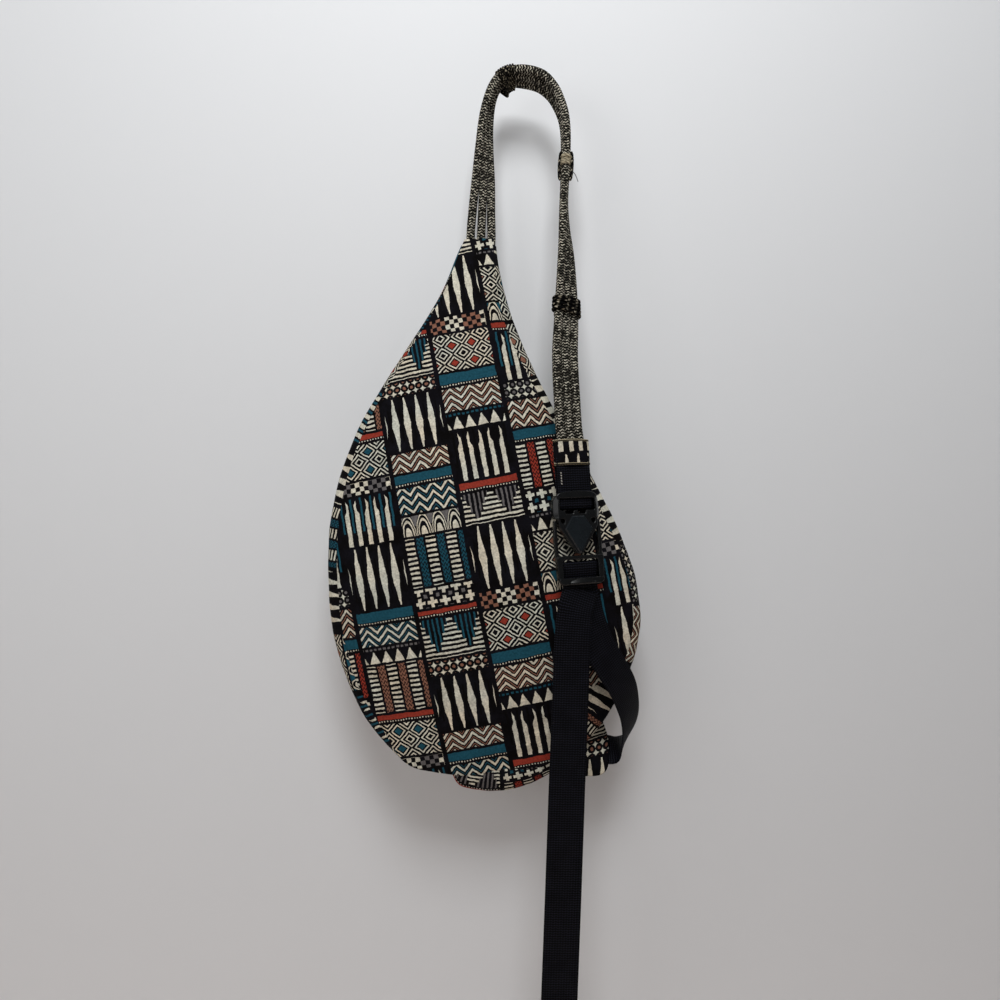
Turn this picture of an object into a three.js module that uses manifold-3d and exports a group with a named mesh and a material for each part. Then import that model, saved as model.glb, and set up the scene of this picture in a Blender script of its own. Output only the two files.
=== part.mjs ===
// Rope sling backpack, hung by its rope. Millimetres, +Z up, +X to the right as worn on a wall.
// The camera side (-Y) is the plain back panel, and the wall side (+Y) is the front with the zip.
// The origin is the point under the rope bundle where the hook bears.
import * as THREE from "three";
import { mergeVertices } from "three/addons/utils/BufferGeometryUtils.js";
import Module from "manifold-3d";

const wasm = await Module();
wasm.setup();

// Fabric and the clearances between pieces that are sewn or fitted together.
const FABRIC = 2;
const SEAM_GAP = 0.8;
const FIT_GAP = 0.3;

// Rope: three strands side by side.
const ROPE_D = 8.2;
const STRAND_GAP = 0.4;
const STRAND_PITCH = ROPE_D + STRAND_GAP;
const STRAND_SIDES = 8;
const STRAND_STEPS = 30;

// Body outline, seen from the back. Drops are measured down from the tip, which closes round the rope.
const TIP_Z = -153;
const SPINE_X = -19.5;
const TIP_SIDE = 1.8;
const TIP_WIDTH = 2 * STRAND_PITCH + ROPE_D + 2 * TIP_SIDE;
const BODY_HEIGHT = 521;
const BOTTOM_SHIFT = 12;
const LEFT_REACH = 141.5;
const LEFT_DROP = 307;
const RIGHT_REACH = 149;
const RIGHT_DROP = 361;
const SPINE_DROP = 330;

// Curve handles of the outline: how far each stretch keeps its starting direction.
const LEFT_NECK_HANDLE = { out: 40, down: 114 };
const RIGHT_NECK_HANDLE = { out: 9, down: 141 };
const LEFT_BELLY_RISE = 143;
const LEFT_BELLY_FALL = 199;
const RIGHT_BELLY_RISE = 106;
const RIGHT_BELLY_FALL = 64;
const BOTTOM_LEFT_HANDLE = 29;
const BOTTOM_RIGHT_HANDLE = 75;

// Body depth. The back panel is crowned, and the front panel is flat and leans out towards the bottom.
const ROPE_CLEARANCE = 0.7;
const TIP_HALF_DEPTH = ROPE_D / 2 + ROPE_CLEARANCE + FABRIC;
const TAPER_DROP = 270;
const BACK_SEAM_Y = -42;
const BACK_CROWN = 22;
const TIP_CROWN = 1;
const WIDEST_Y = -30;
const BACK_SEAM_INSET = 11;
const FRONT_SEAM_INSET = 5;
const TIP_SEAM_INSET = 1.5;
const FRONT_BOTTOM_Y = 38;
const GUSSET_START_DROP = 26;
const NECK_ROWS = 12;
const BELLY_RAYS = 18;
const PANEL_RINGS = 5;
const GUSSET_STEPS = 6;

// Rope route: x, y and z of the bundle's middle, the turn of the row of strands about the vertical in
// degrees (0 lies along X, 90 lies along Y) and how far the row's far end dips in degrees. The last two
// points lie inside the rope-end tab.
const ROPE_POINTS = [
  [-19.4, 0, -170, 0, 0],
  [-19.4, 0, -149.8, 0, 0],
  [-18.5, 0, -127.4, 8, 0],
  [-17, 0, -93.4, 35, 0],
  [-16, 0, -64.2, 57, 0],
  [-14.1, 0, -35, 72, 0],
  [-9.7, 0, -12.7, 84, 0],
  [-2.9, 0, 0.9, 90, 0],
  [6.8, 0, 6.5, 90, 6],
  [22.4, 0, 6.8, 90, 16],
  [38.6, 0, 2.4, 90, 18],
  [49.8, 0, -7.8, 90, 14],
  [56.6, -0.5, -20.6, 90, 8],
  [60.9, -1, -34, 90, 2],
  [62.6, -1.5, -50.4, 90, 0],
  [62.5, -2.3, -70.1, 90, 0],
  [61.9, -3.5, -90.1, 88, 0],
  [60.6, -7, -115.7, 85, 0],
  [60.7, -12, -141.7, 77, 0],
  [61.7, -17, -167.3, 63, 0],
  [61.7, -22, -192.6, 50, 0],
  [61.2, -27, -217.5, 38, 0],
  [60.3, -32.5, -242.2, 28, 0],
  [58.9, -37.5, -266.5, 22, 0],
  [59, -42, -290.2, 19, 0],
  [59.9, -46.5, -313.7, 18, 0],
  [60.9, -50, -336.8, 18, 0],
  [62.4, -52, -350.5, 18, 0],
  [63, -52.7, -360, 18, 0],
];

// Bindings round the rope bundle: how far along the rope the middle is, from the end in the bag, and
// how much wider the hole is than the strands, which is more where they bend.
const BINDING_WALL = 1.8;
const HOOK_BINDING = { along: 182, length: 20, clearance: 1.5 };
const UPPER_BINDING = { along: 311, length: 28, clearance: 0.6 };
const LOWER_BINDING = { along: 454, length: 20, clearance: 0.6 };
const BINDING_STEPS = 4;

// Strap frame: the rope-end tab, the webbing loop and the buckle lie along one line in front of the belly,
// from the rope's last point but one.
const STRAP_TOP = ROPE_POINTS.at(-2).slice(0, 3);
const STRAP_TILT_DEG = -5.4;
const STRAP_LEAN_DEG = -2;
const STRAP_TURN_DEG = 18;
const WEBBING_W = 32;
const WEBBING_T = 1.6;

// Rope-end tab, a flat sleeve round the rope ends and the webbing ends.
const TAB_LENGTH = 23;
const TAB_WALL = 1.5;
const TAB_CLEARANCE = 0.6;
const TAB_HOLE_DEPTH = ROPE_D + 2 * TAB_CLEARANCE;
const TAB_HOLE_WIDTH = WEBBING_W + 2 * FIT_GAP;
const TAB_OVERLAP = 8;

// Buckle, with the same rails beside the webbing on its socket and its plug.
const RAIL_W = 5.6;
const RAIL_CLEARANCE = 0.9;
const BUCKLE_INSIDE = WEBBING_W / 2 + RAIL_CLEARANCE;
const BUCKLE_HALF_W = BUCKLE_INSIDE + RAIL_W;

// Buckle socket, measured down the strap line from the top of the tab.
const SOCKET_TOP = 47.4;
const SOCKET_FRONT_Y = -5.2;
const SOCKET_REAR_Y = 4.2;
const SOCKET_TOP_BAR = 5.4;
const SOCKET_TOP_CURVE = 2;
const SOCKET_TOP_HALF_W = 18;
const SOCKET_BAR_AT = 58.5;
const SOCKET_BAR_Y = 0.6;
const BAR_HEIGHT = 5;
const BAR_THICKNESS = 2.8;
const SHOULDER_TOP = 68.9;
const SHOULDER_HEIGHT = 9;
const TONGUE_LENGTH = 25;
const TONGUE_TIP_HALF_W = 2.4;
const TONGUE_SHOULDER_HALF_W = 18;
const TONGUE_REAR_Y = 2;
const KITE_RISE = 1.4;
const KITE_TOP_HALF_W = 7;
const KITE_HALF_W = 11.5;
const KITE_WIDEST = 9.5;
const KITE_INSET = 0.5;
const DIMPLE_R = 1.8;
const DIMPLE_DEPTH = 1.2;
const DIMPLE_X = 15.5;
const SLIT_TOOTH_HALF_W = 2.4;
const SLIT_TOOTH = 3.4;

// Buckle plug with its two side arms and the ladder lock.
const ARM_W = 3.2;
const ARM_HALF_T = 2;
const ARM_REACH = 6;
const PLUG_GAP = 0.8;
const PLUG_TOP_BAR = 3.6;
const PLUG_FRONT_Y = -4.5;
const LOCK_BAR_DROP = 5.8;
const LOCK_WINDOW = 16.2;
const LIP_HEIGHT = 6;
const LIP_FRONT_Y = -5.4;
const LIP_REAR_Y = -1.8;
const LIP_CLEARANCE = 0.8;
const FOLD_STEPS = 6;

// Strap tail below the lock, x, y and z, and how far its face is turned in degrees.
const TAIL_POINTS = [
  [68, -65, -491, 15],
  [64.6, -68.2, -504, 11],
  [62.2, -70, -531, 6],
  [60.6, -70, -580, 3],
  [57.7, -70, -652.5, 2],
  [54.3, -70, -750, 2],
  [50.8, -70, -844, 2],
  [49.8, -70, -875, 2],
];
const TAIL_STEPS = 22;

// Strap run from the corner wing up behind the lock, x, y, z and the direction of its width.
const RUN_POINTS = [
  [100.7, -12.5, -642.5, 0, 0.8, 0.6],
  [109.9, -13.5, -641.5, 0.16, 0.82, 0.5],
  [118.2, -18, -631, 0.42, 0.84, 0.28],
  [121, -26, -614, 0.55, 0.83, 0.06],
  [118.2, -36, -595, 0.66, 0.75, 0.02],
  [110.3, -47.5, -573.5, 0.78, 0.6, 0.1],
  [97.6, -55.5, -552, 0.87, 0.48, 0.1],
  [86, -59, -532, 0.92, 0.38, 0.06],
  [78, -60.2, -511, 0.94, 0.33, 0.03],
  [73.4, -59.2, -492, 0.95, 0.31, 0.02],
];
const RUN_STEPS = 20;

// Corner wing, the fabric tab at the lower right that holds the end of the strap run.
const WING_THICKNESS = 3.2;
const WING_TOP_RISE = 53;
const WING_ROOT_OUT = 71.5;
const WING_ROOT_Y = -22;
const WING_REACH = 12.4;
const WING_EDGE_UPPER = { y: -5, below: 6 };
const WING_EDGE_LOWER = { y: -24, below: 40 };
const WING_STEPS = 8;

// Zip on the flat front panel, measured down from the tip and across its slot.
const ZIP_TOP_DROP = 110;
const ZIP_LENGTH = 300;
const ZIP_SLOT_HALF_W = 5.4;
const TAPE_W = 12.5;
const TAPE_T = 0.8;
const TAPE_SPLIT = 1;
const TAPE_SPARE = 6;
const TEETH_HALF_W = 2.6;
const TEETH_T = 2.4;
const STOP_LENGTH = 4;
const SLIDER_LENGTH = 12;
const SLIDER_WALL = 1.2;
const SLIDER_GAP = 0.4;
const PULL_BAR_R = 1;
const PULL_EYE_R = 2.5;
const PULL_EYE_HOLE_R = 1.4;
const PULL_POST_W = 1;
const PULL_W = 7;
const PULL_NECK_W = 4;
const PULL_NECK_LENGTH = 7;
const PULL_CORNER = 2;
const PULL_T = 1.8;
const PULL_LENGTH = 27;
const ROUND_SIDES = 12;

// How far a cutting tool or a joined piece runs past the face it meets.
const OVERRUN = 1;

// Materials.
const material = (color, roughness, metalness = 0) =>
  new THREE.MeshStandardMaterial({ color, roughness, metalness });
const CANVAS = material(0x2a2a30, 0.9);
const ROPE = material(0x6a5c48, 0.95);
const BINDING = material(0x4a4036, 0.9);
const WEBBING = material(0x101012, 0.8);
const PLASTIC = material(0x0c0c0d, 0.45);
const ZIP_TAPE = material(0x141416, 0.9);
const ZIP_METAL = material(0x77777a, 0.35, 1);

const bag = new THREE.Group();
const degrees = THREE.MathUtils.degToRad;
const lerp = THREE.MathUtils.lerp;
const vector = (p) => new THREE.Vector3(p[0], p[1], p[2]);

function addMesh(parent, name, geometry, mat) {
  const mesh = new THREE.Mesh(geometry, mat);
  mesh.name = name;
  parent.add(mesh);
  return mesh;
}

// Geometry from a list of points and a list of triangles, with flat triangles left out.
function geometryOf(points, triangles) {
  const raw = new THREE.BufferGeometry().setFromPoints(points);
  raw.setIndex(triangles.flat());
  const merged = mergeVertices(raw, 1e-4);
  const kept = [];
  const index = merged.index.array;
  for (let i = 0; i < index.length; i += 3) {
    const [a, b, c] = [index[i], index[i + 1], index[i + 2]];
    if (a !== b && b !== c && a !== c) {
      kept.push(a, b, c);
    }
  }
  merged.setIndex(kept);
  return merged;
}

// Booleans between closed geometries.
function solidOf(geometry) {
  const bare = geometry.clone();
  bare.deleteAttribute("normal");
  bare.deleteAttribute("uv");
  const merged = mergeVertices(bare, 1e-4);
  return new wasm.Manifold(
    new wasm.Mesh({
      numProp: 3,
      vertProperties: new Float32Array(merged.attributes.position.array),
      triVerts: new Uint32Array(merged.index.array),
    }),
  );
}

function geometryFrom(solid) {
  const mesh = solid.getMesh();
  const geometry = new THREE.BufferGeometry();
  geometry.setAttribute("position", new THREE.BufferAttribute(mesh.vertProperties, 3));
  geometry.setIndex(new THREE.BufferAttribute(mesh.triVerts, 1));
  geometry.computeVertexNormals();
  return geometry;
}

const join = (...all) => geometryFrom(all.map(solidOf).reduce((a, b) => a.add(b)));
const cut = (base, ...tools) =>
  geometryFrom(tools.map(solidOf).reduce((a, b) => a.subtract(b), solidOf(base)));

// A box between two corners.
function box(x0, x1, y0, y1, z0, z1) {
  const made = new THREE.BoxGeometry(x1 - x0, y1 - y0, z1 - z0);
  return made.translate((x0 + x1) / 2, (y0 + y1) / 2, (z0 + z1) / 2);
}

// A shape drawn in X and Z, extruded from y0 to y1.
function slab(shape, y0, y1, curveSegments = 6) {
  const made = new THREE.ExtrudeGeometry(shape, { depth: y1 - y0, bevelEnabled: false, curveSegments });
  return made.rotateX(Math.PI / 2).translate(0, y1, 0);
}

const polygon = (points) => new THREE.Shape(points.map((p) => new THREE.Vector2(p[0], p[1])));

// A cylinder along X.
function bar(radius, x0, x1, y, z) {
  const made = new THREE.CylinderGeometry(radius, radius, x1 - x0, ROUND_SIDES);
  return made.rotateZ(Math.PI / 2).translate((x0 + x1) / 2, y, z);
}

// A closed solid through a row of rings with equal counts of points.
function loft(rings) {
  const count = rings[0].length;
  const triangles = [];
  for (let i = 0; i + 1 < rings.length; i += 1) {
    for (let k = 0; k < count; k += 1) {
      const a = i * count + k;
      const b = i * count + ((k + 1) % count);
      triangles.push([a, b, a + count], [b, b + count, a + count]);
    }
  }
  const last = (rings.length - 1) * count;
  for (let k = 1; k + 1 < count; k += 1) {
    triangles.push([0, k + 1, k], [last, last + k, last + k + 1]);
  }
  return geometryOf(rings.flat(), triangles);
}

// An outline with two half-round ends, its straight stretch lying along the first direction.
function stadium(halfStraight, radius) {
  const points = [];
  for (const side of [1, -1]) {
    for (let k = 0; k <= ROUND_SIDES / 2; k += 1) {
      const angle = -Math.PI / 2 + (2 * Math.PI * k) / ROUND_SIDES;
      points.push([side * (halfStraight + radius * Math.cos(angle)), side * radius * Math.sin(angle)]);
    }
  }
  return points;
}

// A webbing bar along X, with its upper and lower edges rounded.
function webbingBar(halfLength, y, z) {
  const section = stadium((BAR_HEIGHT - BAR_THICKNESS) / 2, BAR_THICKNESS / 2);
  return loft([-halfLength, halfLength].map((x) => section.map(([a, b]) => new THREE.Vector3(x, y - b, z + a))));
}

// A closed shell: an open surface, its copy moved inwards, and the rim between them.
function thicken(points, triangles, thickness) {
  const surface = geometryOf(points, triangles);
  surface.computeVertexNormals();
  const place = surface.attributes.position;
  const normal = surface.attributes.normal;
  const outer = [];
  const inner = [];
  for (let i = 0; i < place.count; i += 1) {
    const p = new THREE.Vector3().fromBufferAttribute(place, i);
    const n = new THREE.Vector3().fromBufferAttribute(normal, i);
    outer.push(p);
    inner.push(p.clone().addScaledVector(n, -thickness));
  }
  const faces = [];
  const edges = new Map();
  const index = surface.index.array;
  for (let i = 0; i < index.length; i += 3) {
    const face = [index[i], index[i + 1], index[i + 2]];
    faces.push(face, [face[2] + place.count, face[1] + place.count, face[0] + place.count]);
    for (let k = 0; k < 3; k += 1) {
      edges.set(`${face[k]} ${face[(k + 1) % 3]}`, [face[k], face[(k + 1) % 3]]);
    }
  }
  for (const [a, b] of edges.values()) {
    if (!edges.has(`${b} ${a}`)) {
      faces.push([b, a, a + place.count], [b, a + place.count, b + place.count]);
    }
  }
  return geometryOf([...outer, ...inner], faces);
}

// A grid of points, columns by rows, as triangles.
function gridTriangles(columns, rows) {
  const triangles = [];
  for (let i = 0; i + 1 < columns; i += 1) {
    for (let j = 0; j + 1 < rows; j += 1) {
      const a = i * rows + j;
      triangles.push([a, a + rows, a + 1], [a + 1, a + rows, a + rows + 1]);
    }
  }
  return triangles;
}

// Body outline.
const bottom = [SPINE_X + BOTTOM_SHIFT, TIP_Z - BODY_HEIGHT];
const leftTip = [SPINE_X - TIP_WIDTH / 2, TIP_Z];
const rightTip = [SPINE_X + TIP_WIDTH / 2, TIP_Z];
const leftmost = [SPINE_X - LEFT_REACH, TIP_Z - LEFT_DROP];
const rightmost = [SPINE_X + RIGHT_REACH, TIP_Z - RIGHT_DROP];
const OUTLINE_SAMPLES = 80;

function bezier(a, b, c, d) {
  const points = [a, b, c, d].map((p) => new THREE.Vector2(p[0], p[1]));
  return new THREE.CubicBezierCurve(...points).getPoints(OUTLINE_SAMPLES);
}

const outline = [
  ...bezier(
    leftTip,
    [leftTip[0] - LEFT_NECK_HANDLE.out, leftTip[1] - LEFT_NECK_HANDLE.down],
    [leftmost[0], leftmost[1] + LEFT_BELLY_RISE],
    leftmost,
  ),
  ...bezier(
    leftmost,
    [leftmost[0], leftmost[1] - LEFT_BELLY_FALL],
    [bottom[0] - BOTTOM_LEFT_HANDLE, bottom[1]],
    bottom,
  ).slice(1),
  ...bezier(
    bottom,
    [bottom[0] + BOTTOM_RIGHT_HANDLE, bottom[1]],
    [rightmost[0], rightmost[1] - RIGHT_BELLY_FALL],
    rightmost,
  ).slice(1),
  ...bezier(
    rightmost,
    [rightmost[0], rightmost[1] + RIGHT_BELLY_RISE],
    [rightTip[0] + RIGHT_NECK_HANDLE.out, rightTip[1] - RIGHT_NECK_HANDLE.down],
    rightTip,
  ).slice(1),
];
const lowest = outline.reduce((best, p, i) => (p.y < outline[best].y ? i : best), 0);

// Where one side of the outline has the height z.
function edgeAt(z, side) {
  const path = side < 0 ? outline.slice(0, lowest + 1) : outline.slice(lowest).reverse();
  for (let i = 0; i + 1 < path.length; i += 1) {
    if (path[i].y >= z && path[i + 1].y <= z) {
      const t = (path[i].y - z) / (path[i].y - path[i + 1].y || 1);
      return lerp(path[i].x, path[i + 1].x, t);
    }
  }
  return path[path.length - 1].x;
}

// Where a ray from the belly's centre meets the outline.
const belly = new THREE.Vector2(SPINE_X, TIP_Z - SPINE_DROP);
function outlineRay(angle) {
  const ray = new THREE.Vector2(Math.cos(angle), Math.sin(angle));
  for (let i = 0; i + 1 < outline.length; i += 1) {
    const a = outline[i].clone().sub(belly);
    const b = outline[i + 1].clone().sub(belly);
    const sideA = ray.cross(a);
    const sideB = ray.cross(b);
    if (sideA <= 0 && sideB > 0 && ray.dot(a) > 0) {
      return a.lerp(b, sideA / (sideA - sideB)).add(belly);
    }
  }
  return belly.clone().addScaledVector(ray, BODY_HEIGHT - SPINE_DROP);
}

// How full the body is at a drop below the tip: straight along the neck, then eased to 1.
function fullness(drop) {
  const slope = 2 / (TAPER_DROP + SPINE_DROP);
  if (drop <= TAPER_DROP) {
    return slope * drop;
  }
  const rest = Math.min(drop, SPINE_DROP) - TAPER_DROP;
  return slope * (TAPER_DROP + rest - (rest * rest) / (2 * (SPINE_DROP - TAPER_DROP)));
}

const frontSlope = (FRONT_BOTTOM_Y - TIP_HALF_DEPTH) / BODY_HEIGHT;
const frontY = (z) => TIP_HALF_DEPTH + frontSlope * (TIP_Z - z);

// Stations round the outline from the left of the tip to the right of the tip. Each has its edge point,
// the spine point it belongs to, the direction inwards and the body's fullness there.
function bodyStations(startDrop) {
  const stations = [];
  const neck = (side, i) => {
    const drop = lerp(startDrop, SPINE_DROP, i / NECK_ROWS);
    const z = TIP_Z - drop;
    stations.push({ edge: new THREE.Vector2(edgeAt(z, side), z), spine: new THREE.Vector2(SPINE_X, z), drop });
  };
  for (let i = 0; i < NECK_ROWS; i += 1) {
    neck(-1, i);
  }
  for (let i = 0; i <= BELLY_RAYS; i += 1) {
    const edge = outlineRay(Math.PI + (Math.PI * i) / BELLY_RAYS);
    stations.push({ edge, spine: belly.clone(), drop: SPINE_DROP });
  }
  for (let i = NECK_ROWS - 1; i >= 0; i -= 1) {
    neck(1, i);
  }
  stations.forEach((station, i) => {
    const before = stations[Math.max(i - 1, 0)].edge;
    const after = stations[Math.min(i + 1, stations.length - 1)].edge;
    const along = after.clone().sub(before).normalize();
    station.inward = new THREE.Vector2(-along.y, along.x);
    station.full = fullness(station.drop);
  });
  return stations;
}

// A point of the body: the station's edge moved inwards in the outline's plane.
function bodyPoint(station, inset, y) {
  const p = station.edge.clone().addScaledVector(station.inward, inset);
  return new THREE.Vector3(p.x, y, p.y);
}

const backSeamY = (full) => lerp(-TIP_HALF_DEPTH, BACK_SEAM_Y, full);
const backInset = (full) => lerp(TIP_SEAM_INSET, BACK_SEAM_INSET, full);
const frontInset = (full) => lerp(TIP_SEAM_INSET, FRONT_SEAM_INSET, full);
const crown = (full) => lerp(TIP_CROWN, BACK_CROWN, full);

// Back panel, crowned from its seam to the spine.
function makeBackPanel() {
  const stations = bodyStations(0);
  const points = [];
  for (const station of stations) {
    const rim = bodyPoint(station, backInset(station.full) + SEAM_GAP, 0);
    for (let j = 0; j <= PANEL_RINGS; j += 1) {
      const r = j / PANEL_RINGS;
      const y = backSeamY(station.full) - crown(station.full) * (1 - r * r);
      const x = lerp(station.spine.x, rim.x, r);
      const z = lerp(station.spine.y, rim.z, r);
      points.push(new THREE.Vector3(x, y, z));
    }
  }
  const triangles = gridTriangles(stations.length, PANEL_RINGS + 1);
  addMesh(bag, "back_panel", thicken(points, triangles, FABRIC), CANVAS);
}

// Gusset, the strip round the sides and bottom between the two panels.
function makeGusset() {
  const stations = bodyStations(GUSSET_START_DROP);
  const points = [];
  for (const station of stations) {
    const back = backSeamY(station.full);
    const front = frontY(station.edge.y);
    const widest = (lerp(0, WIDEST_Y, station.full) - back) / (front - back);
    for (let j = 0; j <= GUSSET_STEPS; j += 1) {
      const t = j / GUSSET_STEPS;
      const share = t < widest ? 1 - t / widest : (t - widest) / (1 - widest);
      const inset = t < widest ? backInset(station.full) : frontInset(station.full);
      points.push(bodyPoint(station, inset * share * share, lerp(back, front, t)));
    }
  }
  const triangles = gridTriangles(stations.length, GUSSET_STEPS + 1).map(([a, b, c]) => [c, b, a]);
  addMesh(bag, "gusset", thicken(points, triangles, FABRIC), CANVAS);
}

// A flat geometry that leans with the front panel.
function leanWithFront(geometry) {
  const place = geometry.attributes.position;
  for (let i = 0; i < place.count; i += 1) {
    place.setY(i, place.getY(i) + frontY(place.getZ(i)));
  }
  return geometry;
}

// Front panel, flat inside the gusset's front edge, with a slot for the zip.
function makeFrontPanel() {
  const rim = bodyStations(0).map((station) => {
    const p = bodyPoint(station, frontInset(station.full) + FABRIC + SEAM_GAP, 0);
    return [p.x, p.z];
  });
  const shape = polygon(rim);
  const slotTop = TIP_Z - ZIP_TOP_DROP;
  shape.holes.push(
    polygon([
      [SPINE_X - ZIP_SLOT_HALF_W, slotTop],
      [SPINE_X + ZIP_SLOT_HALF_W, slotTop],
      [SPINE_X + ZIP_SLOT_HALF_W, slotTop - ZIP_LENGTH],
      [SPINE_X - ZIP_SLOT_HALF_W, slotTop - ZIP_LENGTH],
    ]),
  );
  addMesh(bag, "front_panel", leanWithFront(slab(shape, -FABRIC, 0)), CANVAS);
}

// Rope bundle: its middle line, and the direction across the row of strands.
const ropeLine = new THREE.CatmullRomCurve3(ROPE_POINTS.map(vector), false, "catmullrom", 0.5);
const ropeTurn = new THREE.CatmullRomCurve3(
  ROPE_POINTS.map((p) => new THREE.Vector3(p[3], p[4], 0)),
  false,
  "catmullrom",
  0.5,
);
function ropeStation(t) {
  const { x: turnDeg, y: dipDeg } = ropeTurn.getPoint(t);
  const turn = degrees(turnDeg);
  const along = ropeLine.getTangent(t);
  const across = new THREE.Vector3(Math.cos(turn), Math.sin(turn), -Math.tan(degrees(dipDeg)));
  across.addScaledVector(along, -across.dot(along)).normalize();
  return { middle: ropeLine.getPoint(t), along, across, out: along.clone().cross(across) };
}

// One strand: a tube along the bundle's line, moved across it.
function makeStrand(name, offset) {
  const line = ROPE_POINTS.map((p, i) => {
    const station = ropeStation(i / (ROPE_POINTS.length - 1));
    return station.middle.addScaledVector(station.across, offset);
  });
  const section = polygon(
    Array.from({ length: STRAND_SIDES }, (unused, k) => {
      const angle = (2 * Math.PI * (k + 0.5)) / STRAND_SIDES;
      return [(ROPE_D / 2) * Math.cos(angle), (ROPE_D / 2) * Math.sin(angle)];
    }),
  );
  const extrudePath = new THREE.CatmullRomCurve3(line, false, "catmullrom", 0.5);
  const tube = new THREE.ExtrudeGeometry(section, { steps: STRAND_STEPS, extrudePath, bevelEnabled: false });
  addMesh(bag, name, tube, ROPE);
}

// One binding: a short sleeve with round ends that follows the bundle.
function makeBinding(name, binding) {
  const length = ropeLine.getLength();
  const ring = (station, grow) =>
    stadium(STRAND_PITCH, ROPE_D / 2 + grow).map(([a, b]) =>
      station.middle.clone().addScaledVector(station.across, a).addScaledVector(station.out, b),
    );
  const sleeve = (grow, spare) => {
    const rings = [];
    for (let i = 0; i <= BINDING_STEPS; i += 1) {
      const shift = (binding.length / 2 + spare) * ((2 * i) / BINDING_STEPS - 1);
      const t = ropeLine.getUtoTmapping((binding.along + shift) / length);
      rings.push(ring(ropeStation(t), grow));
    }
    return loft(rings);
  };
  const inner = sleeve(binding.clearance, BINDING_WALL);
  const made = cut(sleeve(binding.clearance + BINDING_WALL, 0), inner);
  addMesh(bag, name, made, BINDING);
}

// Strap frame.
const strap = new THREE.Group();
strap.position.set(...STRAP_TOP);
strap.rotation.set(degrees(STRAP_TILT_DEG), degrees(STRAP_LEAN_DEG), degrees(STRAP_TURN_DEG), "ZYX");
strap.updateMatrixWorld();
bag.add(strap);

function makeTab() {
  const halfHole = TAB_HOLE_WIDTH / 2;
  const outerY = TAB_HOLE_DEPTH / 2 + TAB_WALL;
  const sleeve = box(-halfHole - TAB_WALL, halfHole + TAB_WALL, -outerY, outerY, -TAB_LENGTH, 0);
  const holeY = TAB_HOLE_DEPTH / 2;
  const hole = box(-halfHole, halfHole, -holeY, holeY, -TAB_LENGTH - TAB_WALL, TAB_WALL);
  addMesh(strap, "rope_end_tab", cut(sleeve, hole), CANVAS);
}

// A band of webbing folded over a bar, seen from the side: y and z of its middle line.
function bandOver(barY, barZ, side, reachFront, reachRear) {
  const arm = BAR_THICKNESS / 2 + FIT_GAP + WEBBING_T / 2;
  const line = [];
  for (let k = 0; k <= FOLD_STEPS; k += 1) {
    const angle = (Math.PI * k) / FOLD_STEPS;
    const rise = (BAR_HEIGHT - BAR_THICKNESS) / 2 + arm * Math.sin(angle);
    line.push([barY - arm * Math.cos(angle), barZ + side * rise]);
  }
  return [[barY - arm, reachFront], ...line, [barY + arm, reachRear]];
}

// A ribbon along points with a width direction at each.
function ribbon(stations) {
  const rings = stations.map((station, i) => {
    const before = stations[Math.max(i - 1, 0)].middle;
    const after = stations[Math.min(i + 1, stations.length - 1)].middle;
    const along = after.clone().sub(before).normalize();
    const across = station.across.clone().addScaledVector(along, -station.across.dot(along)).normalize();
    const out = along.clone().cross(across);
    const corners = [[-1, -1], [1, -1], [1, 1], [-1, 1]];
    return corners.map(([a, b]) =>
      station.middle
        .clone()
        .addScaledVector(across, (a * WEBBING_W) / 2)
        .addScaledVector(out, (b * WEBBING_T) / 2),
    );
  });
  return loft(rings);
}

function makeSocketWebbing() {
  const end = -TAB_LENGTH + TAB_OVERLAP;
  const line = bandOver(SOCKET_BAR_Y, -SOCKET_BAR_AT, -1, end, end);
  const across = new THREE.Vector3(1, 0, 0);
  const stations = line.map(([y, z]) => ({ middle: new THREE.Vector3(0, y, z), across }));
  addMesh(strap, "socket_webbing", ribbon(stations), WEBBING);
}

// Buckle socket.
const shoulderBottom = -SHOULDER_TOP - SHOULDER_HEIGHT;
const tongueTip = shoulderBottom - TONGUE_LENGTH;
const armInner = BUCKLE_HALF_W - ARM_W;
const armTop = shoulderBottom + ARM_REACH;

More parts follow.
